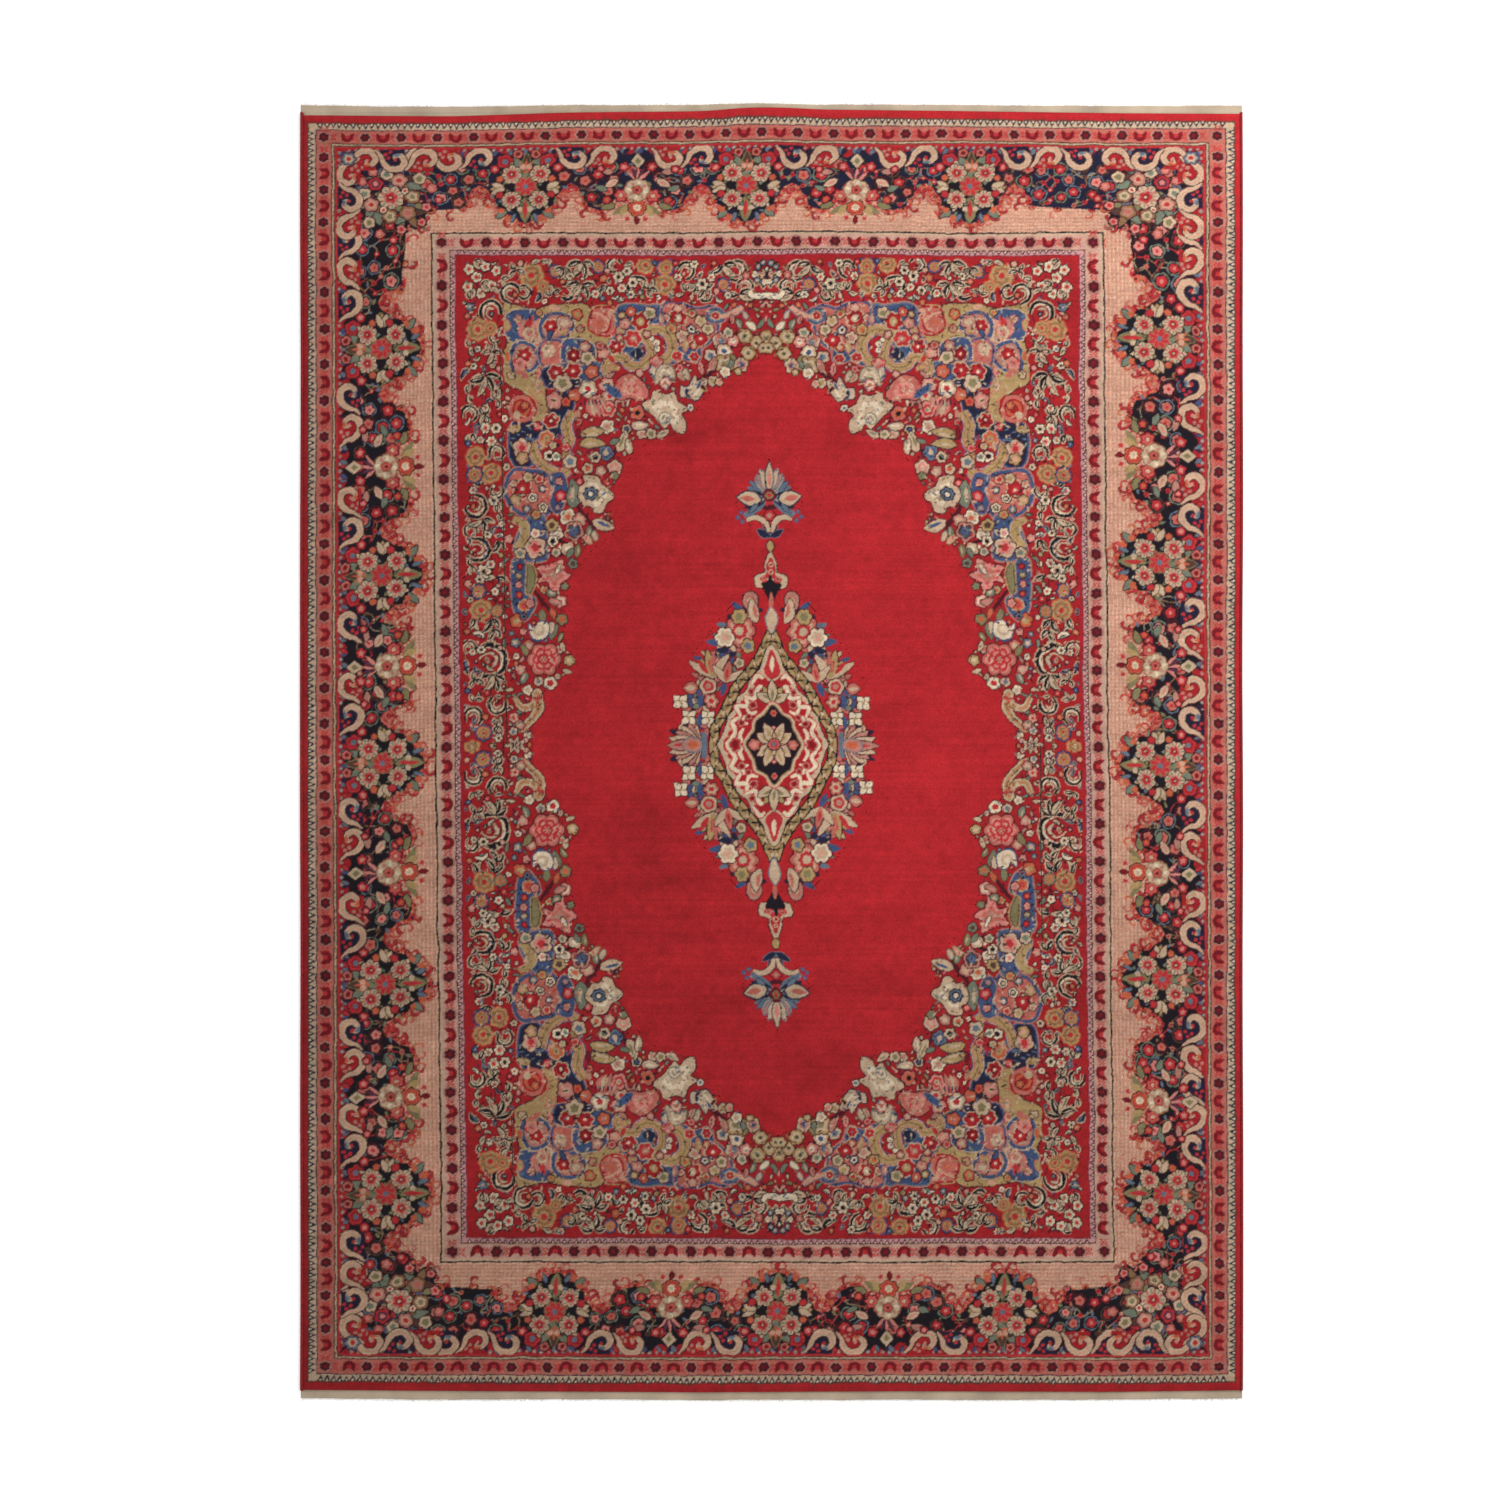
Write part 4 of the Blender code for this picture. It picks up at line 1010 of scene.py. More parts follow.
        b.fill((shape - middle) * 0.34 + middle, {"cream": "cream", "salmon": "salmon", "pink": "blush",
            "ivory": "ivory"}[ink])
    for x, y, turn, size, inks in ((43.4, 101.4, 36, 6.6, ("blue", "steel")),
            (23.2, 102.4, -120, 0.1, ("navy", "navy")), (62.8, 50.4, 118, 3.6, ("ivory", "black")),
            (21.4, 105.4, -140, 3.2, ("maroon", "gold")), (24.8, 104, -100, 3.0, ("navy", "steel")),
            (20.6, 106.2, -60, 2.8, ("blue", "cream"))):
        b.at(x, y, turn).shape(leaf(size, size * 0.3), inks[0], inks[1], 0.25)
    flower(b.at(31, 95.6), 1.5, 8, ("ivory", "cream", "ivory"), "green", 0.1)
    flower(b.at(52.4, 73.6), 2.3, 7, ("navy", "steel", "navy", "ivory"), "cream", 0.2)
    # the big rosette, and pale ribbon scrolls beside the widest part of the field
    flower(b.at(66, 25.5), 5.0, 6, ("salmon", "pink", "rose", "pink", "rose", "cream"), "maroon", 0.22)
    for k in range(6):
        b.at(66, 25.5, 60 * k + 30).fill(leaf(4.2, 0.7), "rose")
    b.stroke([(75, 15.6), (72.8, 12), (74.6, 7.4), (73, 4.4)], 1.4, "green", 0.5, "maroon")
    ribbon_path = [(74.6, 14.6), (72.6, 11.6), (69.4, 12), (67.8, 14.6), (68.4, 15.6), (67.4, 12),
        (68.6, 9.4), (71.6, 6.2), (72.2, 4.4)]
    b.stroke(ribbon_path, 2.6, "cream", 0.4, "maroon")
    b.stroke(ribbon_path, 1.5, "gold", 0.4)
    b.stroke(ribbon_path, 0.4, "salmon", 0.4)
    petals(b, "bloom", [(74.8, 8.6, 1.5, "pink cream rose"), (73.2, 6.6, 1.4, "blush cream"),
        (75, 4.8, 1.1, "cream steel"), (70.7, 16.6, 1.4, "ivory cream"), (71, 3.6, 1.1, "ivory cream"),
        (71.6, 2.2, 0.8, "pink cream")])
    for turn in (60, 20, -20, 100, 140):
        b.at(74.4, 0, turn).shape(leaf(3.4, 1.2), "cream", "black", 0.25)
        b.at(74.4, 0, turn).fill(leaf(2.6, 0.45), "purple")
    b.at(74.4, 0).fill(disc(0.8, 8), "rose")


# The dyes of the short stitches that lie on each ground.
STITCHES = {
    "gold": "tan cream brown tan", "blue": "navy steel cream navy", "navy": "steel black cream",
    "salmon": "rose coral cream", "blush": "rose cream salmon", "red": "deep navy black cream maroon",
    "cream": "tan brown blush green", "pink": "rose cream", "ivory": "tan steel",
    "coral": "rose cream salmon", "steel": "navy cream",
}


def ink_at(b, x, y):
    """The name of the dye at a place of the drawing."""
    column, row = ((np.array([x, y]) @ b.axes + b.place + (HALF_WIDTH, HALF_LENGTH)) / SAMPLE).astype(int)
    return NAMES[b.canvas[min(row, b.canvas.shape[0] - 1), min(column, b.canvas.shape[1] - 1)]]


def fill_gaps(b, rng):
    """Small leaves and blossoms wherever the floral border or the spandrel still shows its red ground."""
    tries, large = 11000, 4000
    for k in range(tries):
        x, y = rng.uniform(0, 89), rng.uniform(0, 140.6)
        border = x > 78 or y > 129.8
        room = rng.uniform(0.9, 1.9) if k < large else rng.uniform(0.45, 1.0)
        if any(ink_at(b, x + dx * room, y + dy * room) != "red" for dx,
                dy in ((0, 0), (1, 0), (-1, 0), (0, 1), (0, -1))):
            continue
        f = b.at(x, y, rng.uniform(0, 360))
        pick = rng.integers(6)
        if border and pick < 4:
            g = f.at(-room, 0)
            g.shape(leaf(2.2 * room, 0.9 * room, 0.4 * room), ("cream", "navy", "black", "ivory")[pick],
                ("black", "cream", "steel", "black")[pick], 0.3)
            g.at(0.3, 0).fill(leaf(1.5 * room, 0.3 * room, 0.2 * room),
                ("black", "steel", "cream", "navy")[pick])
        elif pick < 3:
            f.at(-room, 0).shape(leaf(2.1 * room, 0.8 * room, 0.3 * room),
                ("green", "cream", "blush")[pick], "maroon", 0.3)
        else:
            inks = (("ivory", "rose"), ("cream", "black"), ("orange", "gold"), ("pink", "cream"),
                ("steel", "cream"))[rng.integers(5)]
            f.shape(lobed(room * 0.8, 5, 0.25), inks[0], "black" if border else "maroon", 0.3)
            f.fill(disc(room * 0.28, 7), inks[1])


def sprinkle(b, rng):
    """Short stitches of other dyes all over the worked corner and its border, so no shape stays plain."""
    stitches = 5200
    for _ in range(stitches):
        x, y = rng.uniform(0, 89), rng.uniform(0, 141)
        if x < BORDER_X and y < 129 and x / 72 + y / 121 < 1.0 or (x < 60 and y < 60):
            continue
        ground = ink_at(b, x, y)
        if ground not in STITCHES or ground == "red" and rng.random() < 0.5:
            continue
        inks = STITCHES[ground].split()
        b.at(x, y, rng.uniform(0, 360)).fill(leaf(rng.uniform(0.6, 1.9), rng.uniform(0.3, 0.6)),
            inks[rng.integers(len(inks))])


def medallion(canvas):
    """The oval medallion: bouquets, a ribbon, a cream ogival frame, a dark heart, a finial and a pendant."""
    b = Brush(canvas)
    # outer bouquets, over a thicket of blue and green leaves
    for k, (x, y) in enumerate(((5.4, 39.4), (8.4, 38.4), (11.6, 35.2), (14.4, 31.4), (12.6, 28.0),
            (15.4, 26.4), (18.2, 25.4), (15.6, 21.6), (20.6, 19.4), (17.6, 15.4), (22.4, 13.6),
            (20.4, 11.2), (19.2, 5.4), (21.4, 6.4), (24.4, 4.6), (26.8, 3.4), (10.4, 27.4), (8.2, 30.6),
            (12.6, 23.2), (23.4, 10.6))):
        for j in range(4):
            b.at(x, y, k * 37 + j * 90).shape(leaf(2.9, 1.3), ("blue", "green", "navy", "cream",
                "salmon")[(k + j) % 5], "maroon", 0.22)
    for x, y, turn, size, ink in ((8, 39, 35, 4.4, "blue"), (12, 34, 20, 4.4, "steel"),
            (14, 29.6, 8, 5.2, "blue"), (4.4, 37, 75, 5.0, "blue"), (19.6, 24.4, 20, 3.6, "blue"),
            (20, 18, -60, 4.4, "blue"), (13.4, 18.4, -70, 4.6, "blue"), (20.4, 15, -80, 4.6, "blue"),
            (21, 9, -90, 4.0, "blue"), (12.4, 27.6, 0, 4.0, "navy"), (19.6, 4.0, -60, 3.4, "steel"),
            (6.0, 31.6, 60, 4.0, "olive")):
        b.at(x, y, turn).shape(leaf(size, size * 0.42), ink, None)
    for x, y, r, lobes, inks, notch in ((9.2, 33.2, 4.6, 8, "salmon coral rose cream", 0.2),
            (13.4, 31.4, 2.9, 6, "ivory cream coral", 0.25), (9.4, 37.4, 2.2, 6, "gold olive", 0.2),
            (6.8, 29.0, 2.0, 5, "gold steel", 0.2), (9.4, 24.0, 1.5, 5, "cream olive", 0.2)):
        flower(b.at(x, y), r, lobes, inks.split(), "maroon", notch)
    bulb = b.at(6.0, 41.8)
    bulb.shape(disc(2.1, 16) * (1, 1.35), "blush", "maroon", 0.35)
    bulb.fill(disc(1.3, 14) * (1, 1.3), "salmon")
    bulb.fill(disc(0.8, 12) * (1, 1.3), "cream")
    b.at(4.0, 35.6, 78).shape(leaf(7.2, 3.0, -0.6), "cream", "maroon", 0.3)
    b.at(4.0, 37.0, 78).fill(leaf(4.4, 1.2, -0.4), "salmon")
    for turn, size, ink in ((128, 7.4, "pink"), (112, 9.4, "cream"), (96, 8.0, "pink"),
            (60, 8.6, "gold"), (40, 7.4, "cream"), (76, 10.0, "pink"), (20, 5.4, "blush")):
        b.at(16.4, 17.6, turn).shape(leaf(size, 2.5), ink, "maroon", 0.3)
        b.at(17.0, 18.4, turn).fill(leaf(size * 0.66, 0.7), "rose")
    tulip(b.at(17, 19.4, 78), 8.6, 6.4, ("cream", "gold", "rose"))
    b.at(17.6, 21.4, 100).fill(leaf(5.6, 1.7), "salmon")
    b.at(18.6, 20.6, 55).fill(leaf(5.4, 1.6), "rose")
    tulip(b.at(13.4, 18.2, 100), 6.4, 5.2, ("cream", "salmon", "rose"))
    flower(b.at(18.6, 17), 2.5, 5, ("cream", "rose", "blush"), "maroon", 0.15)
    flower(b.at(17.8, 12.6), 2.2, 6, ("salmon", "cream", "rose"), "maroon", 0.3)
    b.at(21.6, 16.4, 0).shape(leaf(4.2, 3.4), "salmon", "maroon", 0.3)
    b.at(22.2, 16.4, 0).fill(leaf(3.0, 1.4), "cream")
    for x, y in ((26.6, 12.4), (24.2, 7.8), (18.8, 7.8)):
        for turn in (45, 135, 225, 315):
            b.at(x, y, turn).shape(leaf(2.5, 1.9), "ivory", "black", 0.25)
        b.at(x, y).fill(disc(0.5, 8), "gold")
    # side palmette
    b.fill(smooth([(19.4, -3), (19.4, 3.4), (22.4, 2.6), (24.6, 0), (22.4, -2.6)]), "steel")
    for turn, size in ((86, 5.6), (68, 6.6), (50, 7.2), (32, 7.6), (15, 8.6), (0, 9.2)):
        b.at(21.6, 0, turn).shape(leaf(size, size * 0.32), "cream" if turn % 4 else "blush", "maroon", 0.3)
        b.at(21.9, 0, turn).fill(leaf(size * 0.75, size * 0.14), "gold" if turn % 4 else "rose")
    b.shape(disc(2.4, 14) * (1.2, 0.8) + (23.2, 0), "blush", "steel", 0.3)
    b.fill(disc(1.3, 12) * (1.3, 0.8) + (23.0, 0), "orange")
    # ribbon
    winding = [(17.4, -1.2), (16.6, 4.6), (13.6, 10.4), (10.6, 16.4), (6.6, 21.6), (2.8, 27.0), (0, 33.4)]
    for width, ink in ((3.2, "black"), (2.4, "gold"), (0.7, "tan")):
        b.stroke(winding, width, ink)
    line = smooth(winding, closed=False, steps=3)
    swing = (1.25 * (-1.0) ** np.arange(len(line)))[:, None]
    b.stroke(line + normals(line, closed=False) * swing, 0.5, "black")
    for k, (x, y) in enumerate(line[:-1]):
        b.at(x, y, 118 if k % 2 else 60).fill(leaf(1.5, 0.9), "cream" if k % 2 else "olive")
    # inside of the ribbon
    ogive = smooth([(14.8, -1), (14.6, 2.6), (13.6, 5.2), (13.0, 8.2), (11.0, 10.6), (10.2, 13.6),
        (7.4, 16.2), (6.2, 19.4), (3.4, 22.6), (2.4, 25.6), (0.0, 29.4), (-3, 24), (-3, -1)])
    b.shape(ogive, "cream", "black", 0.3)
    inside = grown(ogive, -1.9)
    inside = inside + normals(inside) * (0.45 * np.sin(np.arange(len(inside)) * 1.9))[:, None]
    b.shape(inside, "red", "rose", 0.5)
    b.shape(smooth([(0, 28), (1.6, 24.4), (2.4, 21.4), (0, 19.2), (-2, 22)]), "rose", "cream", 0.5)
    b.at(0, 21.5, 90).fill(leaf(5.0, 1.4), "ivory")
    for pts, w in (([(13.6, 0), (11.0, 3.6), (12.0, 6.4), (9.4, 8.0)], 0.8),
            ([(9.4, 8), (10.6, 11), (7.6, 11.4), (8.0, 14.4)], 0.8),
            ([(8.0, 14.2), (5.4, 13.6), (4.0, 17.0), (2.4, 16.4)], 0.8),
            ([(8.6, 4.6), (9.8, 2.2), (8.4, 0)], 0.7), ([(6.0, 18.0), (4.2, 20.4), (2.6, 19.6)], 0.7),
            ([(4.6, 9.6), (6.6, 9.0), (7.6, 10.8)], 0.6), ([(7.4, 5.8), (9.0, 6.6), (8.2, 8.6)], 0.5),
            ([(10.6, 1.6), (12.0, 0.0)], 0.5)):
        b.stroke(pts, w + 0.45, "ivory", 0.4, "rose")
    for x, y, r in ((11.0, 0.2, 1.6), (9.2, 6.2, 0.9), (5.8, 11.6, 1.0), (7.2, 8.0, 0.7), (6.2, 15.6, 0.8)):
        flower(b.at(x, y), r, 5, ("red", "deep"), "blush")
    # gold and cream palmette above the heart
    for turn in (150, 120, 60, 30, 90):
        b.at(0, 12.4, turn).shape(leaf(7.0 if turn == 90 else 5.4, 2.6),
            "gold" if turn in (120, 60) else "cream", "black", 0.3)
        b.at(0, 12.9, turn).fill(leaf(3.4, 0.9), "olive")
    # dark heart with an eight-petalled flower
    heart = smooth([(7.0, -1), (6.8, 2), (5.4, 4.4), (4.8, 7.0), (2.2, 8.8), (0, 11.6), (-3, 9), (-5, -2)])
    for rim, ink in ((1.3, "rose"), (1.0, "cream"), (0.3, "tan"), (0, "black")):
        b.fill(grown(heart, rim), ink)
    flower(b.at(0, 9.2), 1.0, 5, ("salmon", "rose"), None)
    for turn, size, ink in ((90, 5.6, "pink"), (0, 6.0, "pink"), (33, 6.0, "cream"), (66, 6.8, "cream")):
        for side in (turn, -turn, 180 - turn, 180 + turn):
            f = b.at(0, 0, side)
            f.shape(leaf(size, 2.9), ink, "maroon", 0.3)
            f.at(1.6, 0).fill(leaf(size * 0.55, 1.1), "gold" if ink == "cream" else "rose")
    flower(b.at(5.6, 0), 1.6, 5, ("salmon", "pink"), "black", 0.2)
    flower(b.at(0, 0), 1.7, 8, ("salmon", "rose", "steel"), "maroon", 0.2)
    # finial
    b.shape(smooth([(0, 56), (1.6, 52.6), (1.9, 50), (4.6, 49), (4.4, 46), (2.6, 45.4), (0, 44),
        (-2, 46), (-2, 52)]), "cream", "maroon", 0.35)
    b.fill(smooth([(0, 54.4), (1.3, 51.8), (1.5, 49.4), (3.4, 48), (0, 45.4), (-2, 48), (-1, 52)]), "rose")
    for y, r in ((52.2, 0.7), (50.2, 0.9), (48.0, 1.0)):
        flower(b.at(0, y), r, 4, ("cream", "red"), None)
    flower(b.at(2.0, 48.2), 0.7, 4, ("blush", "red"), None)
    b.fill(smooth([(0, 49.6), (0.9, 47.4), (3.0, 46.8), (1.4, 43.4), (0, 41), (-2, 45)]), "black")
    b.fill(smooth([(0, 44.4), (0.7, 42), (0, 39), (-0.7, 42)]), "salmon")
    b.shape(smooth([(0, 40), (1.6, 37.4), (0.9, 34.4), (0, 33), (-1.6, 37)]), "cream", "steel", 0.3)
    pendant(b)


def pendant(b):
    """The hanging flower above the finial."""
    b.shape(disc(1.0, 12) * (1, 1.5) + (0, 57.4), "gold", "maroon", 0.35)
    for turn in (150, 115, 65, 30):
        b.at(0, 60.0, turn).shape(leaf(4.6, 1.8), "purple" if turn in (115, 65) else "navy", "steel", 0.2)
    b.stroke([(0.4, 61.6), (1.4, 64.4), (4.0, 66.0), (6.6, 65.2)], 1.6, "cream", 0.5, "maroon")
    flower(b.at(6.6, 66.8), 1.0, 5, ("steel", "cream"), None)
    flower(b.at(0, 66.4), 1.6, 5, ("rose", "blush"), "maroon")
    b.fill(smooth([(0, 68), (3.4, 69), (4.0, 72), (2.0, 75), (0, 76), (-3, 74), (-3, 69)]), "maroon")
    b.fill(smooth([(0, 69.4), (2.2, 70), (2.4, 72.4), (0, 74.4), (-2, 72)]), "rose")
    for k, turn in enumerate((-38, -22, -6, 12, 26, 42, 58, 74, 90)):
        b.at(1.2, 70.8 + k * 0.35, turn).shape(leaf(7.4 - 0.5 * (k % 3) - 0.3 * k, 1.9),
            ("steel", "navy", "cream", "blue")[k % 4], "navy" if k % 2 else "steel", 0.3)
    b.at(2.6, 71.0, 8).shape(leaf(6.8, 4.0), "cream", "navy", 0.45)
    b.at(4.4, 71.2, 8).fill(leaf(4.4, 1.7), "salmon")
    b.at(3.0, 73.4, 50).shape(leaf(4.2, 1.5), "steel", "navy", 0.2)
    b.at(3.4, 69.8, -45).shape(leaf(3.4, 1.4), "steel", "navy", 0.2)
    for turn, size in ((145, 5.0), (35, 5.0), (130, 6.0), (50, 6.0), (112, 6.8), (68, 6.8), (90, 8.2)):
        b.at(0, 73.8, turn).shape(leaf(size, 2.3), "cream" if turn in (90, 112, 68, 145, 35)
            else "blush", "steel" if turn != 90 else "navy", 0.35)
        b.at(0, 74.8, turn).fill(leaf(size * 0.6, 0.6), "green" if turn != 90 else "salmon")
    b.at(0, 74.8, 90).fill(leaf(5.2, 1.2), "pink")
    flower(b.at(0, 72.4), 1.8, 5, ("deep", "olive", "rose"), "maroon", 0.2)
    for x, y in ((8.4, 67.4), (9.2, 65.8), (7.8, 64.8)):
        flower(b.at(x, y), 0.7, 4, ("blue", "steel"), None)


def inner_design(canvas):
    """The inside of the design: one quarter is drawn, and repeats about both axes."""
    b = Brush(canvas, (0.41, -0.8), ((1.0, 0.0), (-0.0155, 1.0)))
    spandrels(b)
    # the field, and over its edge the flowers that stand on it
    b.fill(np.concatenate([field_edge(), [(-6, -6)]]), "field")
    edge_chain(b)
    floral_border(b)
    fill_gaps(b, np.random.default_rng(32))
    sprinkle(b, np.random.default_rng(33))
    medallion(canvas)
    mirror_quarters(canvas)


# ---- from the straight drawing to the carpet ----

LEAN = 0.0155       # how far the inner design leans to the left for each centimetre upwards
DRIFT_X = 0.4       # how far its middle lies right of the carpet's middle, and above it
DRIFT_Y = 1.8
# Where the bands end on the carpet itself, inwards from its ends, where the rows are beaten tighter.
REAL_REACHES = (0.0, 2.5, 10.0, 36.2, 44.2, 56.6)
REAL_HALF_LENGTH = 185.6


def wave(at, places, heights):
    """A smooth line through given heights."""
    steps, blur = 400, 31
    t = np.linspace(places[0], places[-1], steps)
    kernel = np.hanning(blur)
    padded = np.pad(np.interp(t, places, heights), blur // 2, mode="edge")
    return np.interp(at, t, np.convolve(padded, kernel / kernel.sum(), mode="valid"))


def ripple(x, y, length, seed):
    """Smooth wandering between -1 and 1 over distances of about a length."""
    rng = np.random.default_rng(seed)
    waves = 5
    total = 0
    for _ in range(waves):
        heading, phase = rng.uniform(0, 2 * np.pi, 2)
        k = 2 * np.pi / (length * rng.uniform(0.7, 1.5))
        total = total + np.sin(k * (x * np.cos(heading) + y * np.sin(heading)) + phase)
    return total / waves


def top_edge(x):
    """How far the top end of the pile strays outwards across the carpet."""
    return wave(x, (-136, -110, -92, -60, -18, -8, 4, 12, 55, 100, 136),
        (-1.0, -1.2, -1.3, -0.2, 0.2, 1.3, 1.3, 0.7, 0.2, -0.4, -0.6))


def bottom_edge(x):
    """The same for the bottom end."""
    return wave(x, (-136, -80, -20, 40, 100, 136), (-0.3, 0.1, 0.4, 0.1, 0.3, -0.2))


def side_edge(y, across):
    """How far a long side of the pile strays outwards along the carpet."""
    return 0.22 * ripple(across * 40, y, 60, 5 + across) - 0.1


def in_carpet(x, y):
    """Where points of the straight drawing lie in the carpet, both in centimetres."""
    side = HALF_WIDTH - np.abs(x)
    end = HALF_LENGTH - np.abs(y)
    depth = np.clip(np.minimum(side, end) / REACHES[-1], 0, 1)
    real_end = np.interp(end, (0.0, *REACHES, HALF_LENGTH), (*REAL_REACHES, REAL_HALF_LENGTH))
    flat = np.sign(y) * (REAL_HALF_LENGTH - real_end)
    new_x = x + depth * (DRIFT_X - LEAN * flat)
    new_y = flat + depth * DRIFT_Y
    end_reach, side_reach = 16, 20
    near_end = np.exp(-real_end / end_reach)
    new_y = new_y + near_end * np.where(y > 0, top_edge(x), -bottom_edge(x))
    near_side = np.exp(-side / side_reach)
    new_x = new_x + near_side * np.where(x > 0, side_edge(y, 1), -side_edge(y, -1))
    calm = 1 - np.maximum(near_end, near_side)
    new_x = new_x + 0.45 * calm * ripple(x, y, 48, 11)
    new_y = new_y + 0.5 * calm * ripple(x, y, 52, 12)
    return new_x, new_y


# ---- the pile ----

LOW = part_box("open_field")[0][2]
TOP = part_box("open_field")[1][2]
BROAD_SWELL = 0.0009     # how far the pile rises and falls over its breadth
FINE_SWELL = 0.0005
KNOT_SPREAD = 0.00012    # from knot to knot
EDGE_DROP = 0.0042       # how far it turns down along its outermost rows
BANDS = ("edge_band", "outer_guard", "main_border", "inner_guard", "floral_border")


def linear(colour):
    """sRGB from 0 to 255 as linear light."""
    c = np.asarray(colour, float) / 255
    return np.where(c <= 0.04045, c / 12.92, ((c + 0.055) / 1.055) ** 2.4)


def knot_colours(canvas):
    """The linear colour at every corner between knots: the mean of the four samples about it."""
    table = linear([PALETTE[n] for n in NAMES]).astype(np.float32)
    padded = np.pad(canvas, 1, mode="edge")
    near = [slice(i, i + SAMPLES * n + 1, SAMPLES) for n in (2 * HALF_ROWS, 2 * HALF_COLUMNS)
        for i in (0, 1)]
    return sum(table[padded[down, over]] for down in near[:2] for over in near[2:]) / 4


def piece_map():
    """Which CAD node each knot belongs to, on the knot grid."""
    names = []
    columns = np.arange(2 * HALF_COLUMNS)
    rows = np.arange(2 * HALF_ROWS)
    x = (columns + 0.5) * KNOT - HALF_WIDTH
    y = (rows + 0.5) * KNOT - HALF_LENGTH
    side = (HALF_WIDTH - np.abs(x))[None, :]
    end = (HALF_LENGTH - np.abs(y))[:, None]
    reach = np.minimum(side, end)
    band = np.searchsorted(REACHES, reach)
    sides = np.where(side <= end, np.where(x > 0, 1, 3)[None, :], np.where(y > 0, 0, 2)[:, None])
    owner = np.full(reach.shape, -1, np.int16)
    for i, name in enumerate(BANDS):
        for k, where in enumerate(("top", "right", "bottom", "left")):
            owner[(band == i) & (sides == k)] = len(names)
            names.append(f"{name}_{where}")
    painter = Brush(owner, sample=KNOT)
    inner = sorted(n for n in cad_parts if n.startswith(("spandrel", "open_field", "medallion",
        "pendant")))
    for name in inner:
        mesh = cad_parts[name].data
        mesh.calc_loop_triangles()
        for triangle in mesh.loop_triangles:
            corners = np.array([mesh.vertices[v].co for v in triangle.vertices])
            if corners[:, 2].min() < TOP - 1e-5:
                continue
            y = corners[:, 1] * 100 - DRIFT_Y
            x = corners[:, 0] * 100 - DRIFT_X + LEAN * y
            painter.fill(np.stack([x, y], axis=1), len(names))
        names.append(name)
    return names, owner


def new_mesh(name, points, faces):
    """A smooth mesh object from arrays of points and of quads."""
    points = np.asarray(points, np.float32)
    faces = np.asarray(faces, np.int32)
    mesh = bpy.data.meshes.new(name)
    mesh.vertices.add(len(points))
    mesh.vertices.foreach_set("co", points.ravel())
    mesh.loops.add(faces.size)
    mesh.loops.foreach_set("vertex_index", faces.ravel())
    mesh.polygons.add(len(faces))
    mesh.polygons.foreach_set("loop_start", np.arange(0, faces.size, faces.shape[1], dtype=np.int32))
    mesh.update(calc_edges=True)
    mesh.polygons.foreach_set("use_smooth", np.full(len(faces), True))
    obj = bpy.data.objects.new(name, mesh)
    bpy.context.scene.collection.objects.link(obj)
    return obj


def finish_piece(obj, material, slot_name, *stands_for):
    """Give a piece its material and its body, and hide the CAD nodes it stands for. Its slot_name is not
    used.
    """
    obj.data.materials.append(material)
    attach(obj, "root")
    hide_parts(*stands_for)
    return obj


def colour_points(obj, colours):
    """Give every point of a mesh its linear colour, in the attribute that the wool materials read."""
    made = obj.data.color_attributes.new("dye", "FLOAT_COLOR", "POINT")
    rgba = np.ones((len(colours), 4), np.float32)
    rgba[:, :3] = colours
    made.data.foreach_set("color", rgba.ravel())


def sharpen(obj, pairs):
    """Mark the edges between these pairs of points as sharp."""
    mesh = obj.data
    count = len(mesh.vertices)
    ends = np.zeros(len(mesh.edges) * 2, np.int64)
    mesh.edges.foreach_get("vertices", ends)
    ends = np.sort(ends.reshape(-1, 2), axis=1)
    wanted = np.sort(np.asarray(pairs, np.int64), axis=1)
    marks = np.isin(ends[:, 0] * count + ends[:, 1], wanted[:, 0] * count + wanted[:, 1])
    made = mesh.attributes.new("sharp_edge", "BOOLEAN", "EDGE")
    made.data.foreach_set("value", marks)


def pile_piece(name, own, spots, colours, skirted):
    """The pile over the knots that own marks, with walls down to the foundation where skirted allows them."""
    rows, columns = own.shape
    width = columns + 1
    r, c = np.nonzero(own)
    quads = np.stack([r * width + c, r * width + c + 1, (r + 1) * width + c + 1, (r + 1) * width + c],
        axis=1)
    walls = []
    padded = np.pad(own, 1)
    for k, (dr, dc) in enumerate(((-1, 0), (0, 1), (1, 0), (0, -1))):
        bare = own & ~padded[1 + dr : 1 + dr + rows, 1 + dc : 1 + dc + columns]
        br, bc = np.nonzero(bare & skirted)
        corner = np.stack([br * width + bc, br * width + bc + 1, (br + 1) * width + bc + 1,
            (br + 1) * width + bc], axis=1)
        walls.append(corner[:, [(k + 1) % 4, k]])
    walls = np.concatenate(walls)
    used = np.unique(quads)
    local = np.full((rows + 1) * width, -1, np.int64)
    local[used] = np.arange(len(used))
    feet = np.unique(walls)
    foot = np.full((rows + 1) * width, -1, np.int64)
    foot[feet] = len(used) + np.arange(len(feet))
    points = np.concatenate([spots[used], spots[feet] * (1, 1, 0) + (0, 0, LOW)])
    faces = np.concatenate([local[quads], np.stack([local[walls[:, 0]], local[walls[:, 1]],
        foot[walls[:, 1]], foot[walls[:, 0]]], axis=1)])
    obj = new_mesh(name, points, faces)
    # painted shade: the feet of the walls take half the knot colour, down by the foundation
    colour_points(obj, np.concatenate([colours[used], colours[feet] * 0.5]))
    sharpen(obj, local[walls])
    return obj


# The slot of each kind of pile piece.
SLOTS = {"edge_band": "dark_red_pile", "outer_guard": "salmon_pile", "main_border": "navy_pile",
    "inner_guard": "salmon_pile", "floral_border": "red_pile", "spandrel": "gold_pile",
    "open_field": "red_pile", "medallion": "cream_pile", "pendant": "cream_pile"}


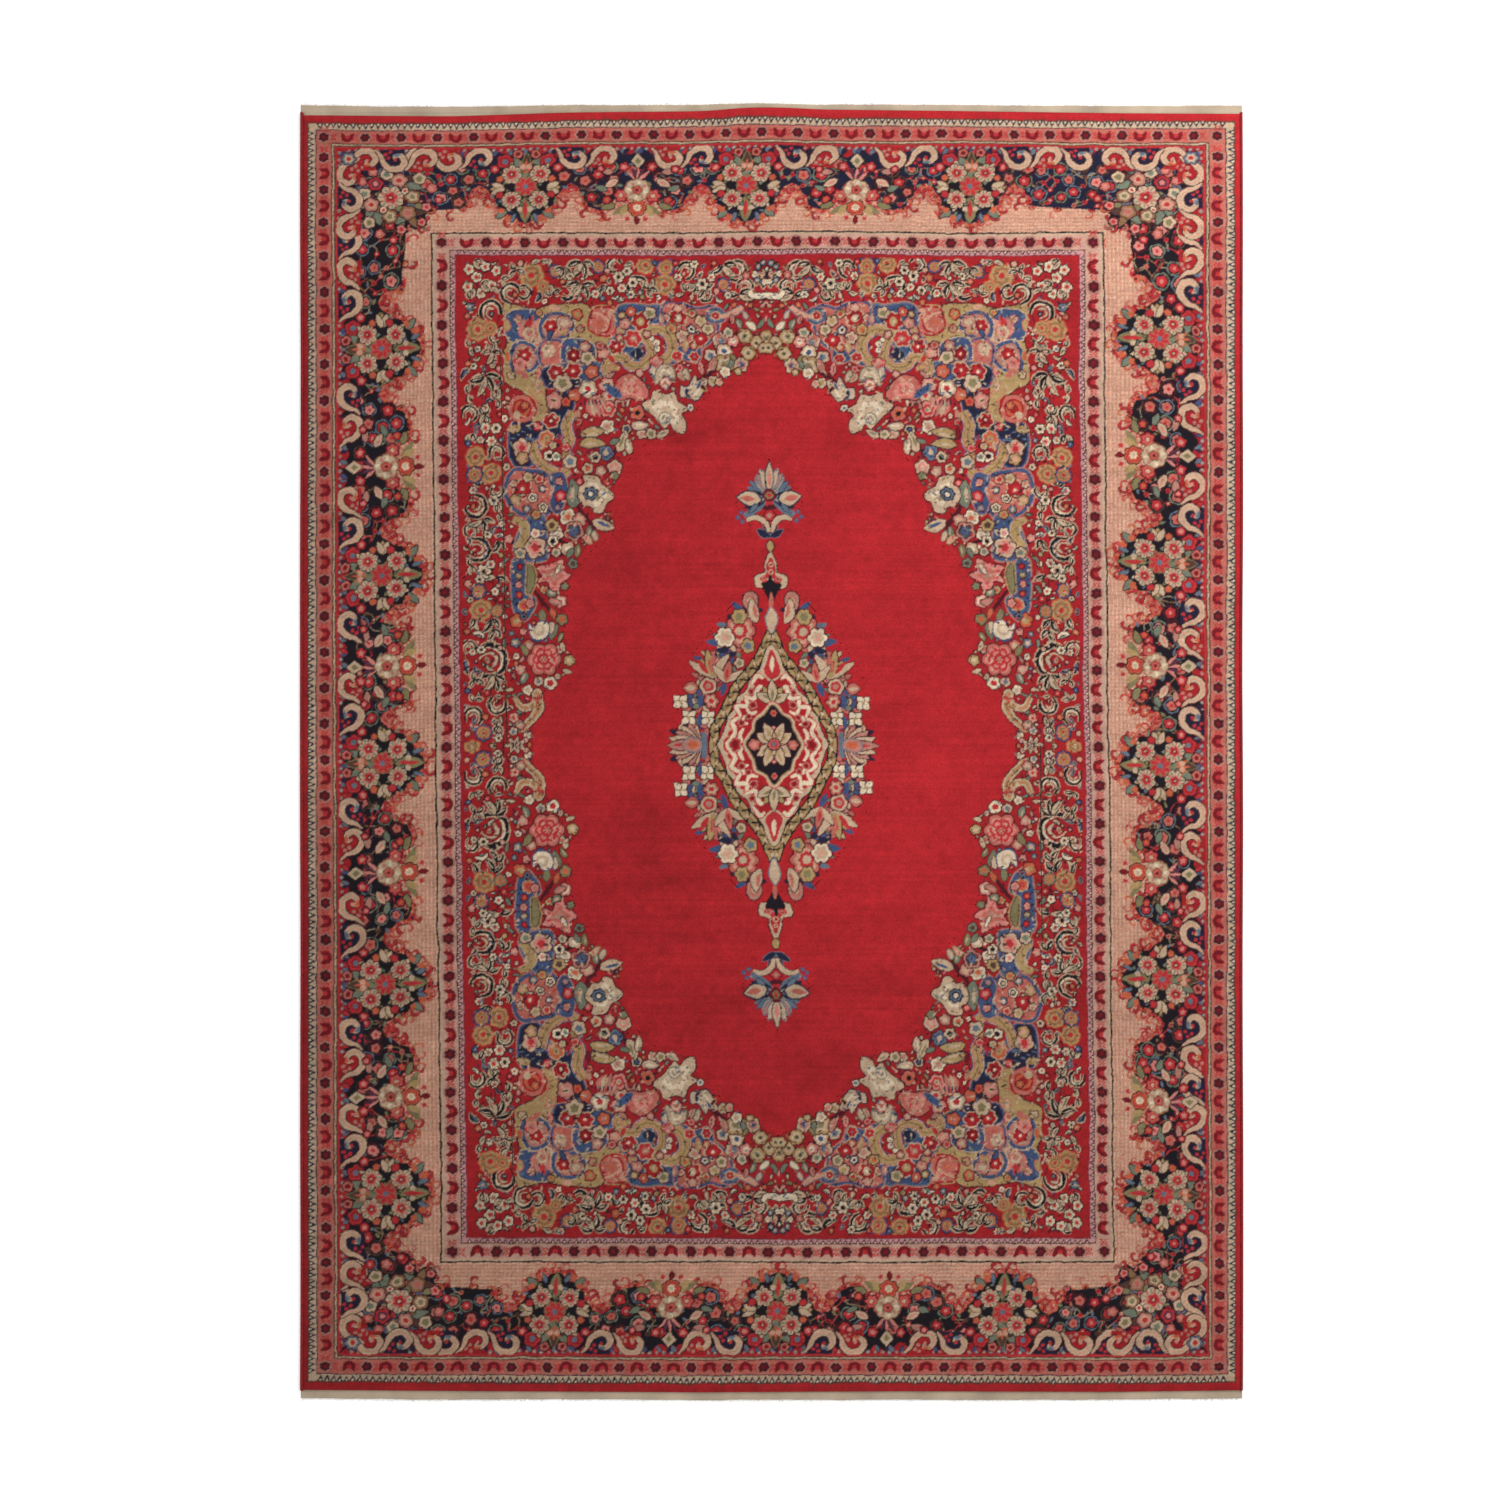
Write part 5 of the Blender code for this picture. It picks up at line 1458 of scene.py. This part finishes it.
def woven(canvas, rng):
    """The cartoon as it comes off the loom: outlines wander a little, and each knot takes its own step."""
    rows, columns = 2 * HALF_ROWS, 2 * HALF_COLUMNS
    down, over = (sum(amount * drifting(rows, columns, step, rng) for step,
        amount in ((12, 0.9), (5, 0.9))) + rng.uniform(-1.2, 1.2, (rows, columns)) for _ in range(2))
    row = np.arange(rows * SAMPLES)[:, None] + np.repeat(np.repeat(np.rint(down), SAMPLES, 0), SAMPLES,
        1).astype(np.int32)
    column = np.arange(columns * SAMPLES)[None, :] + np.repeat(np.repeat(np.rint(over), SAMPLES, 0),
        SAMPLES, 1).astype(np.int32)
    return canvas[np.clip(row, 0, rows * SAMPLES - 1), np.clip(column, 0, columns * SAMPLES - 1)]


def drifting(rows, columns, step, rng):
    """Soft noise on the knot grid, which changes over about step knots."""
    coarse = rng.standard_normal((rows // step + 2, columns // step + 2))
    for count, axis in ((rows, 0), (columns, 1)):
        at = np.arange(count) / step
        low = at.astype(int)
        part = at - low
        part = part * part * (3 - 2 * part)
        part = part[:, None] if axis == 0 else part[None, :]
        coarse = np.take(coarse, low, axis) * (1 - part) + np.take(coarse, low + 1, axis) * part
    return coarse


def build_pile(wool):
    """The whole pile: the design is painted, woven into knots, carried to the carpet and cut into pieces."""
    canvas = np.zeros((2 * HALF_ROWS * SAMPLES, 2 * HALF_COLUMNS * SAMPLES), np.uint8)
    paint_design(canvas)
    dyes = knot_colours(woven(canvas, np.random.default_rng(17)))
    rows, columns = dyes.shape[:2]
    rng = np.random.default_rng(21)
    x, y = np.meshgrid(np.arange(columns) * KNOT - HALF_WIDTH, np.arange(rows) * KNOT - HALF_LENGTH)
    # the knots take tone's painted light and shade (crease shade, pile sheen, a light slope towards the top
    # right) along with dye lots and blotches
    dyes = dyes * tone(x, y)[:, :, None]
    real_x, real_y = in_carpet(x, y)
    edge = np.minimum(HALF_WIDTH - np.abs(x), HALF_LENGTH - np.abs(y))
    height = TOP + BROAD_SWELL * ripple(x, y, 60, 31) + FINE_SWELL * ripple(x, y, 17, 32)
    height = height + KNOT_SPREAD * rng.standard_normal(x.shape)
    height = height - EDGE_DROP * np.exp(-((edge / 0.45) ** 1.4))
    spots = np.stack([real_x / 100, real_y / 100, height], axis=2).reshape(-1, 3)
    dyes = dyes.reshape(-1, 3)
    outermost = np.minimum(edge[:-1, :-1], edge[1:, 1:]) < 0.5 * KNOT
    names, owner = piece_map()
    for k, name in enumerate(names):
        own = owner == k
        obj = pile_piece(name + "_pile", own, spots, dyes, outermost if name.startswith("edge_band")
            else np.ones(own.shape, bool))
        finish_piece(obj, wool, next(slot for kind, slot in SLOTS.items() if name.startswith(kind)), name)


# Patches of wear, with painted shade of creases and folds and painted pile sheen: middle, half lengths along
# and across the carpet's width, and how much they lighten.
WEAR_SHADE_AND_SHEEN_PATCHES = (((0, 0), (34, 60), 0.12), ((-12, 92), (16, 2.4), -0.15), ((-25, 91), (6, 5), -0.14),
    ((24, 90), (5, 4), -0.12), ((-30, 22), (15, 3), -0.10), ((-36, -28), (7, 12), -0.15),
    ((-26, -38), (12, 3), -0.10), ((4, -72), (26, 1.8), -0.12), ((-20, -78), (16, 5), -0.10),
    ((-42, 52), (5, 12), -0.10), ((34, -50), (14, 4), -0.08), ((30, 60), (10, 14), 0.06),
    ((38, 12), (10, 3), -0.08), ((18, -92), (12, 6), -0.10), ((-8, 108), (6, 4), 0.06),
    ((48, -8), (8, 16), 0.05), ((-50, -4), (6, 8), 0.06), ((36, -46), (34, 38), 0.11),
    ((34, 50), (34, 36), 0.04))


def tone(x, y):
    """The soft changes of shade over the carpet: dye lots along the rows, random blotches, wear with painted
    crease shade and painted pile sheen in patches, and painted light that rises towards the top right.
    """
    rng = np.random.default_rng(5)
    rows = y[:, 0]
    lots = np.interp(rows, np.linspace(-190, 190, 120), rng.normal(0, 0.03, 120))
    fine = rng.normal(0, 0.018, len(rows))
    streak = (lots + fine)[:, None]
    slow = 0.05 * ripple(x, y, 120, 41) + 0.045 * ripple(x * 0.7, y, 22, 42) + 0.045 * ripple(x, y, 9, 43)
    slow = slow + 0.05 * drifting(*x.shape, 7, rng) + 0.03 * drifting(*x.shape, 3, rng)
    # painted shade along creases and folds, and painted pile sheen, in patches, with some wear
    for (px, py), (rx, ry), lift in WEAR_SHADE_AND_SHEEN_PATCHES:
        bent = py + 2.5 * np.sin((x - px) / 9)
        slow = slow + lift * np.exp(-(((x - px) / rx) ** 2) - ((y - bent) / ry) ** 2)
    # painted light: the knots grow lighter towards the top right and darker towards the bottom left
    painted_light_slope = 0.11 * y / 190 + 0.11 * x / 136
    return (1 + streak + slow + painted_light_slope) * rng.normal(1, 0.05, x.shape)


# ---- materials ----

def nodes_of(name):
    """A new node material, its Principled shader and a function that adds a linked node."""
    material = bpy.data.materials.new(name)
    material.use_nodes = True
    tree = material.node_tree

    def add(kind, values=(), links=(), **settings):
        node = tree.nodes.new(kind)
        for key, value in settings.items():
            setattr(node, key, value)
        for key, value in values:
            node.inputs[key].default_value = value
        for key, source in links:
            tree.links.new(source, node.inputs[key])
        return node

    return material, tree.nodes["Principled BSDF"], add


def noise(add, place, scale, detail):
    """The strength of a soft noise at a place."""
    return add("ShaderNodeTexNoise", values=[("Scale", scale), ("Detail", detail)],
        links=[("Vector", place)]).outputs["Fac"]


def spread(add, source, to_min, to_max, from_min=0.0, from_max=1.0):
    """A value carried from one range to another."""
    return add("ShaderNodeMapRange", links=[("Value", source)],
        values=[("From Min", from_min), ("From Max", from_max), ("To Min", to_min),
        ("To Max", to_max)]).outputs[0]


def joined(add, operation, first, second):
    """Two values joined by one operation."""
    return add("ShaderNodeMath", links=[(0, first), (1, second)], operation=operation).outputs[0]


def surface(add, shader, colour, roughness, height, strength, distance, specular):
    """Link a shader to its colour, roughness and bumps, and set how it shines."""
    bump = add("ShaderNodeBump", values=[("Strength", strength), ("Distance", distance)],
        links=[("Height", height)])
    for key, source in (("Base Color", colour), ("Roughness", roughness), ("Normal", bump.outputs[0])):
        shader.id_data.links.new(source, shader.inputs[key])
    shader.inputs["Specular IOR Level"].default_value = specular


def wool_material():
    """Knotted wool: the colour of each knot, which carries its dye with painted light and shade, its own
    small shade, rows, tufts and sheen.
    """
    material, shader, add = nodes_of("knotted_wool")
    place = add("ShaderNodeTexCoord").outputs["Object"]
    # the knots' colours hold painted light and shade besides their dyes
    dye = add("ShaderNodeVertexColor", layer_name="dye").outputs["Color"]
    tufts = add("ShaderNodeTexVoronoi", values=[("Scale", 345.0), ("Randomness", 0.55)],
        links=[("Vector", place)])
    rows = add("ShaderNodeVectorMath", values=[(1, (2.0, 90.0, 1.0))], links=[(0, place)],
        operation="MULTIPLY").outputs[0]
    fibres = noise(add, place, 900.0, 2.0)
    shade = add("ShaderNodeSeparateColor", links=[("Color", tufts.outputs["Color"])]).outputs[0]
    factor = joined(add, "MULTIPLY", spread(add, shade, 0.86, 1.14),
        spread(add, noise(add, rows, 1.0, 3.0), 0.93, 1.07, 0.3, 0.7))
    factor = joined(add, "MULTIPLY", factor, spread(add, noise(add, place, 7.0, 4.0), 0.94, 1.06, 0.3, 0.7))
    colour = add("ShaderNodeVectorMath", links=[(0, dye), ("Scale", factor)], operation="SCALE").outputs[0]
    mound = add("ShaderNodeMath", values=[(1, 0.35)], links=[(0, fibres)], operation="MULTIPLY").outputs[0]
    mound = joined(add, "SUBTRACT", mound, tufts.outputs["Distance"])
    surface(add, shader, colour, spread(add, fibres, 0.78, 0.97), mound, 0.35, 0.0012, 0.1)
    shader.inputs["Sheen Weight"].default_value = 0.05
    shader.inputs["Sheen Roughness"].default_value = 0.5
    return material


def cotton_material(name, colour, across, along):
    """Undyed woven cotton: threads over and under at a pitch, soiled unevenly."""
    material, shader, add = nodes_of(name)
    place = add("ShaderNodeTexCoord").outputs["Object"]
    threads = add("ShaderNodeVectorMath", values=[(1, (across, along, 1.0))], links=[(0, place)],
        operation="MULTIPLY").outputs[0]
    weave = add("ShaderNodeTexChecker", values=[("Scale", 1.0)], links=[("Vector", threads)]).outputs["Fac"]
    slubs = noise(add, threads, 1.0, 3.0)
    stains = spread(add, noise(add, place, 9.0, 5.0), 0.72, 1.08, 0.3, 0.7)
    factor = joined(add, "MULTIPLY", stains, spread(add, slubs, 0.85, 1.15))
    factor = joined(add, "MULTIPLY", factor, spread(add, weave, 0.9, 1.0))
    tint = add("ShaderNodeVectorMath", values=[(0, tuple(linear(colour)))], links=[("Scale", factor)],
        operation="SCALE").outputs[0]
    surface(add, shader, tint, spread(add, slubs, 0.8, 0.98), joined(add, "ADD", weave, slubs), 0.5,
        0.0004, 0.2)
    return material


# ---- edges ----

PILE_HALF = HALF_WIDTH / 100
PILE_END = REAL_HALF_LENGTH / 100
KILIM_HALF = PILE_HALF + 0.007
GAP = 0.0004             # kept between the edges and the floor, and between the foundation and the pile
WRAP = 0.0049            # half the thickness of an overcast side


def grid_faces(rows, columns, closed=False):
    """Quads between neighbouring points of a grid, whose rows close on themselves if closed."""
    r, c = np.meshgrid(np.arange(rows - 1), np.arange(columns if closed else columns - 1), indexing="ij")
    r, c = r.ravel(), c.ravel()
    d = (c + 1) % columns
    return np.stack([r * columns + c, r * columns + d, (r + 1) * columns + d, (r + 1) * columns + c],
        axis=1)


def cloth_faces(rows, columns):
    """The faces of a thin closed cloth of two grids of points: its top, its underside and its four rims."""
    n = rows * columns
    over = grid_faces(rows, columns)
    a = np.arange(columns - 1)
    b = np.arange(rows - 1) * columns
    last = n - columns
    return np.concatenate([over, over[:, ::-1] + n, np.stack([a, a + n, a + n + 1, a + 1], axis=1),
        np.stack([last + a + 1, last + a + 1 + n, last + a + n, last + a], axis=1),
        np.stack([b + columns, b + columns + n, b + n, b], axis=1),
        np.stack([b + columns - 1, b + columns - 1 + n, b + 2 * columns - 1 + n, b + 2 * columns - 1],
        axis=1)])


def tube(path, radii, sides):
    """Rings of points round a path, with a radius at each point of it."""
    path = np.asarray(path, float)
    ahead = np.gradient(path, axis=0)
    ahead /= np.linalg.norm(ahead, axis=1)[:, None]
    up = np.array([0.0, 0.0, 1.0])
    across = np.cross(ahead, up)
    across /= np.linalg.norm(across, axis=1)[:, None]
    over = np.cross(across, ahead)
    a = around(sides)
    ring = across[:, None] * np.cos(a)[None, :, None] + over[:, None] * np.sin(a)[None, :, None]
    return path[:, None] + ring * np.asarray(radii)[:, None, None]


def selvedge(side, across, material):
    """The overcast side: wool yarn wound round the core in close turns, each lying over the last."""
    turns, per_turn, sides = 1180, 5, 12
    yarn, groove, unevenness, slant = 0.0044, 0.0006, 0.00012, 0.0012
    middle_height = 0.0052
    n = turns * per_turn
    y = np.linspace(-PILE_END + 0.001, PILE_END - 0.001, n)
    ripe = 0.5 + 0.5 * np.cos(2 * np.pi * np.arange(n) / per_turn)
    swell = np.repeat(np.random.default_rng(61 + across).normal(0, 1, turns), per_turn)
    radii = yarn + groove * ripe + unevenness * swell
    x = across * (PILE_HALF + WRAP) + across * side_edge(y * 100, across) / 100
    rings = tube(np.stack([x, y, np.full(n, middle_height)], axis=1), radii, sides)
    rings[:, :, 1] += slant * np.cos(around(sides))[None, :] * across
    points = rings.reshape(-1, 3)
    points[:, 2] = np.maximum(points[:, 2], GAP)
    obj = new_mesh(f"selvedge_overcast_{side}", points, grid_faces(n, sides, closed=True))
    rgb = linear((150, 40, 42)) * (1 + 0.10 * swell[:, None] + 0.12 * ripple(0, y * 100, 30, 71)[:, None])
    # painted shade: each turn darkens to three quarters in the groove before the next
    colour_points(obj, np.repeat(np.clip(rgb, 0, 1) * (0.75 + 0.25 * ripe)[:, None], sides, axis=0))
    finish_piece(obj, material, "overcast_wool", f"selvedge_wrap_{side}", f"selvedge_core_{side}")


def kilim_width(x, up):
    """How far the flat-woven end strip reaches beyond the pile, in centimetres."""
    if up > 0:
        return wave(x, (-136, -118, -95, -60, -18, -6, 6, 30, 70, 110, 136),
            (3.1, 2.9, 2.9, 2.3, 1.9, 1.4, 1.3, 1.8, 2.0, 2.3, 2.6))
    return wave(x, (-136, -100, -60, 0, 60, 100, 136), (2.5, 2.7, 2.3, 2.4, 2.6, 2.3, 2.5))


def pile_end(x, up):
    """The Y of the pile's end at a place across the carpet, in metres."""
    return up * (REAL_HALF_LENGTH + (top_edge(x) if up > 0 else bottom_edge(x))) / 100


def kilim(end, up, material):
    """The flat-woven strip beyond the pile: a thin cloth with a wandering outer edge."""
    columns, rows = 1100, 9
    thickness, thread, buckle = 0.0026, 0.00022, 0.0006
    ragged, slow_wander, quick_wander = 0.0005, 0.0012, 0.0008
    x = np.linspace(-KILIM_HALF, KILIM_HALF, columns)
    t = np.linspace(0, 1, rows)[:, None]
    rng = np.random.default_rng(81 + up)
    reach = kilim_width(x * 100, up) / 100 + ragged * rng.standard_normal(columns)
    reach = reach + slow_wander * ripple(x * 100, 0 * x, 14, 95) + quick_wander * ripple(x * 100, 0 * x,
        5, 96)
    y = pile_end(x * 100, up)[None, :] + up * t * reach[None, :]
    x = np.broadcast_to(x, y.shape)
    weave = thread * (-1.0) ** (np.arange(columns)[None, :] + np.arange(rows)[:, None])
    lift = buckle * (0.5 + 0.5 * ripple(x * 100, y * 100, 22, 91)) * t
    top = np.stack([x, y, thickness + weave + lift], axis=2)
    low = np.stack([x, y, np.full_like(x, GAP)], axis=2)
    faces = cloth_faces(rows, columns)[:, ::up]
    obj = new_mesh(f"kilim_{end}", np.concatenate([top.reshape(-1, 3), low.reshape(-1, 3)]), faces)
    finish_piece(obj, material, "cotton", f"kilim_end_{end}")


def strands(name, paths, radii, sides):
    """One object of many round strands of the same number of points."""
    rings = [tube(path, radii, sides).reshape(-1, 3) for path in paths]
    one = grid_faces(len(radii), sides, closed=True)
    return new_mesh(name, np.concatenate(rings), np.concatenate([one + k * len(radii) * sides
        for k in range(len(rings))]))


def locking_weft(end, up, material):
    """Two cotton strands twisted along the pile's end, which lock the last row of knots."""
    turns, steps = 390, 8
    n = turns * steps
    x = np.linspace(-PILE_HALF + 0.001, PILE_HALF - 0.001, n)
    angle = 2 * np.pi * np.arange(n) / steps
    radius, swing = 0.00062, 0.0006
    beyond_pile, height = 0.0016, 0.0041
    paths = [np.stack([x, pile_end(x * 100, up) + up * beyond_pile + swing * np.cos(angle + strand),
                       height + swing * np.sin(angle + strand)], axis=1) for strand in (0, np.pi)]
    obj = strands(f"locking_strands_{end}", paths, np.full(n, radius), 5)
    return finish_piece(obj, material, "cotton", f"locking_weft_{end}")


def fringe(end, up, material):
    """The cut warp ends beyond the kilim, which lie every way, with a few long loose threads."""
    rng = np.random.default_rng(101 + up)
    count, steps, sides = 620, 5, 4
    shortest, longest, loose = 0.004, 0.009, 0.011
    thread, jitter, tuck = 0.00075, 0.0012, 0.001
    start_height, fall, arch = 0.0019, 0.0008, 0.0006
    places = np.linspace(-KILIM_HALF + 0.003, KILIM_HALF - 0.003, count) + rng.uniform(-jitter, jitter,
        count)
    t = np.linspace(0, 1, steps)
    paths = []
    for k, x in enumerate(places):
        length = rng.uniform(shortest, longest) if k % 60 else loose
        root = pile_end(x * 100, up) + up * (kilim_width(x * 100, up) / 100 - tuck)
        lean = rng.normal(0, 0.35)
        height = start_height - fall * t + arch * rng.uniform() * np.sin(np.pi * t)
        paths.append(np.stack([x + length * lean * t**2, root + up * length * t, height], axis=1))
    obj = strands(f"warp_ends_{end}", paths, thread * (1 - 0.5 * t), sides)
    return finish_piece(obj, material, "cotton", f"fringe_{end}")


def foundation(material):
    """The woven cotton ground under the pile, closed, with the ridges of its warps on its underside."""
    columns, rows = 340, 260
    underside, ridge = 0.0003, 0.0002
    x, y = np.meshgrid(np.linspace(-PILE_HALF, PILE_HALF, columns), np.linspace(-PILE_END, PILE_END, rows))
    top = np.stack([x, y, np.full_like(x, LOW - GAP)], axis=2)
    under = np.stack([x, y, underside + ridge * (np.arange(columns) % 2)[None, :] * np.ones_like(x)],
        axis=2)
    points = np.concatenate([top.reshape(-1, 3), under.reshape(-1, 3)])
    return finish_piece(new_mesh("foundation_weave", points, cloth_faces(rows, columns)), material,
        "cotton", "foundation")


# ---- the whole carpet ----

def paint_design(canvas):
    """The whole design, from the ground up."""
    canvas[:] = INK["red"]
    inner_design(canvas)
    outer_guard(canvas)
    main_border(canvas, PLAN, np.random.default_rng(12))
    inner_guard(canvas)


wool = wool_material()
kilim_cotton = cotton_material("kilim_cotton", (196, 176, 152), 340.0, 900.0)
twist_cotton = cotton_material("twisted_cotton", (196, 178, 152), 700.0, 700.0)
ground_cotton = cotton_material("ground_cotton", (190, 172, 148), 345.0, 345.0)
base = foundation(ground_cotton)
build_pile(wool)
for side, across in (("left", -1), ("right", 1)):
    selvedge(side, across, wool)
for end, up in (("top", 1), ("bottom", -1)):
    kilim(end, up, kilim_cotton)
    locking_weft(end, up, twist_cotton)
    fringe(end, up, twist_cotton)

# ---- floor, lights and camera ----

bpy.ops.mesh.primitive_plane_add(size=160, location=(0, 0, 0))
floor = bpy.context.object
floor.name = "floor"
material, shader, _ = nodes_of("pale_floor")
shader.inputs["Base Color"].default_value = (0.93, 0.93, 0.93, 1)
shader.inputs["Roughness"].default_value = 0.9
shader.inputs["Emission Color"].default_value = (1, 1, 1, 1)
shader.inputs["Emission Strength"].default_value = 0.3
floor.data.materials.append(material)

world = bpy.data.worlds.new("studio")
world.use_nodes = True
sky = world.node_tree.nodes["Background"]
sky.inputs["Color"].default_value = (1, 1, 1, 1)
sky.inputs["Strength"].default_value = 0.72
bpy.context.scene.world = world

light = bpy.data.lights.new("key", "AREA")
light.shape = "DISK"
light.size = 2.4
light.energy = 150
key = bpy.data.objects.new("key", light)
key.location = (2.8, 2.8, 3.6)
key.rotation_euler = (-key.location).to_track_quat("-Z", "Y").to_euler()
bpy.context.scene.collection.objects.link(key)

camera = bpy.data.cameras.new("camera")
camera.lens = 50
camera.sensor_width = 36
view = bpy.data.objects.new("camera", camera)
view.location = (-0.0625, 0.004, 6.054)
view.rotation_euler = (0, 0, 0)
bpy.context.scene.collection.objects.link(view)
bpy.context.scene.camera = view
bpy.context.scene.view_settings.view_transform = "Standard"
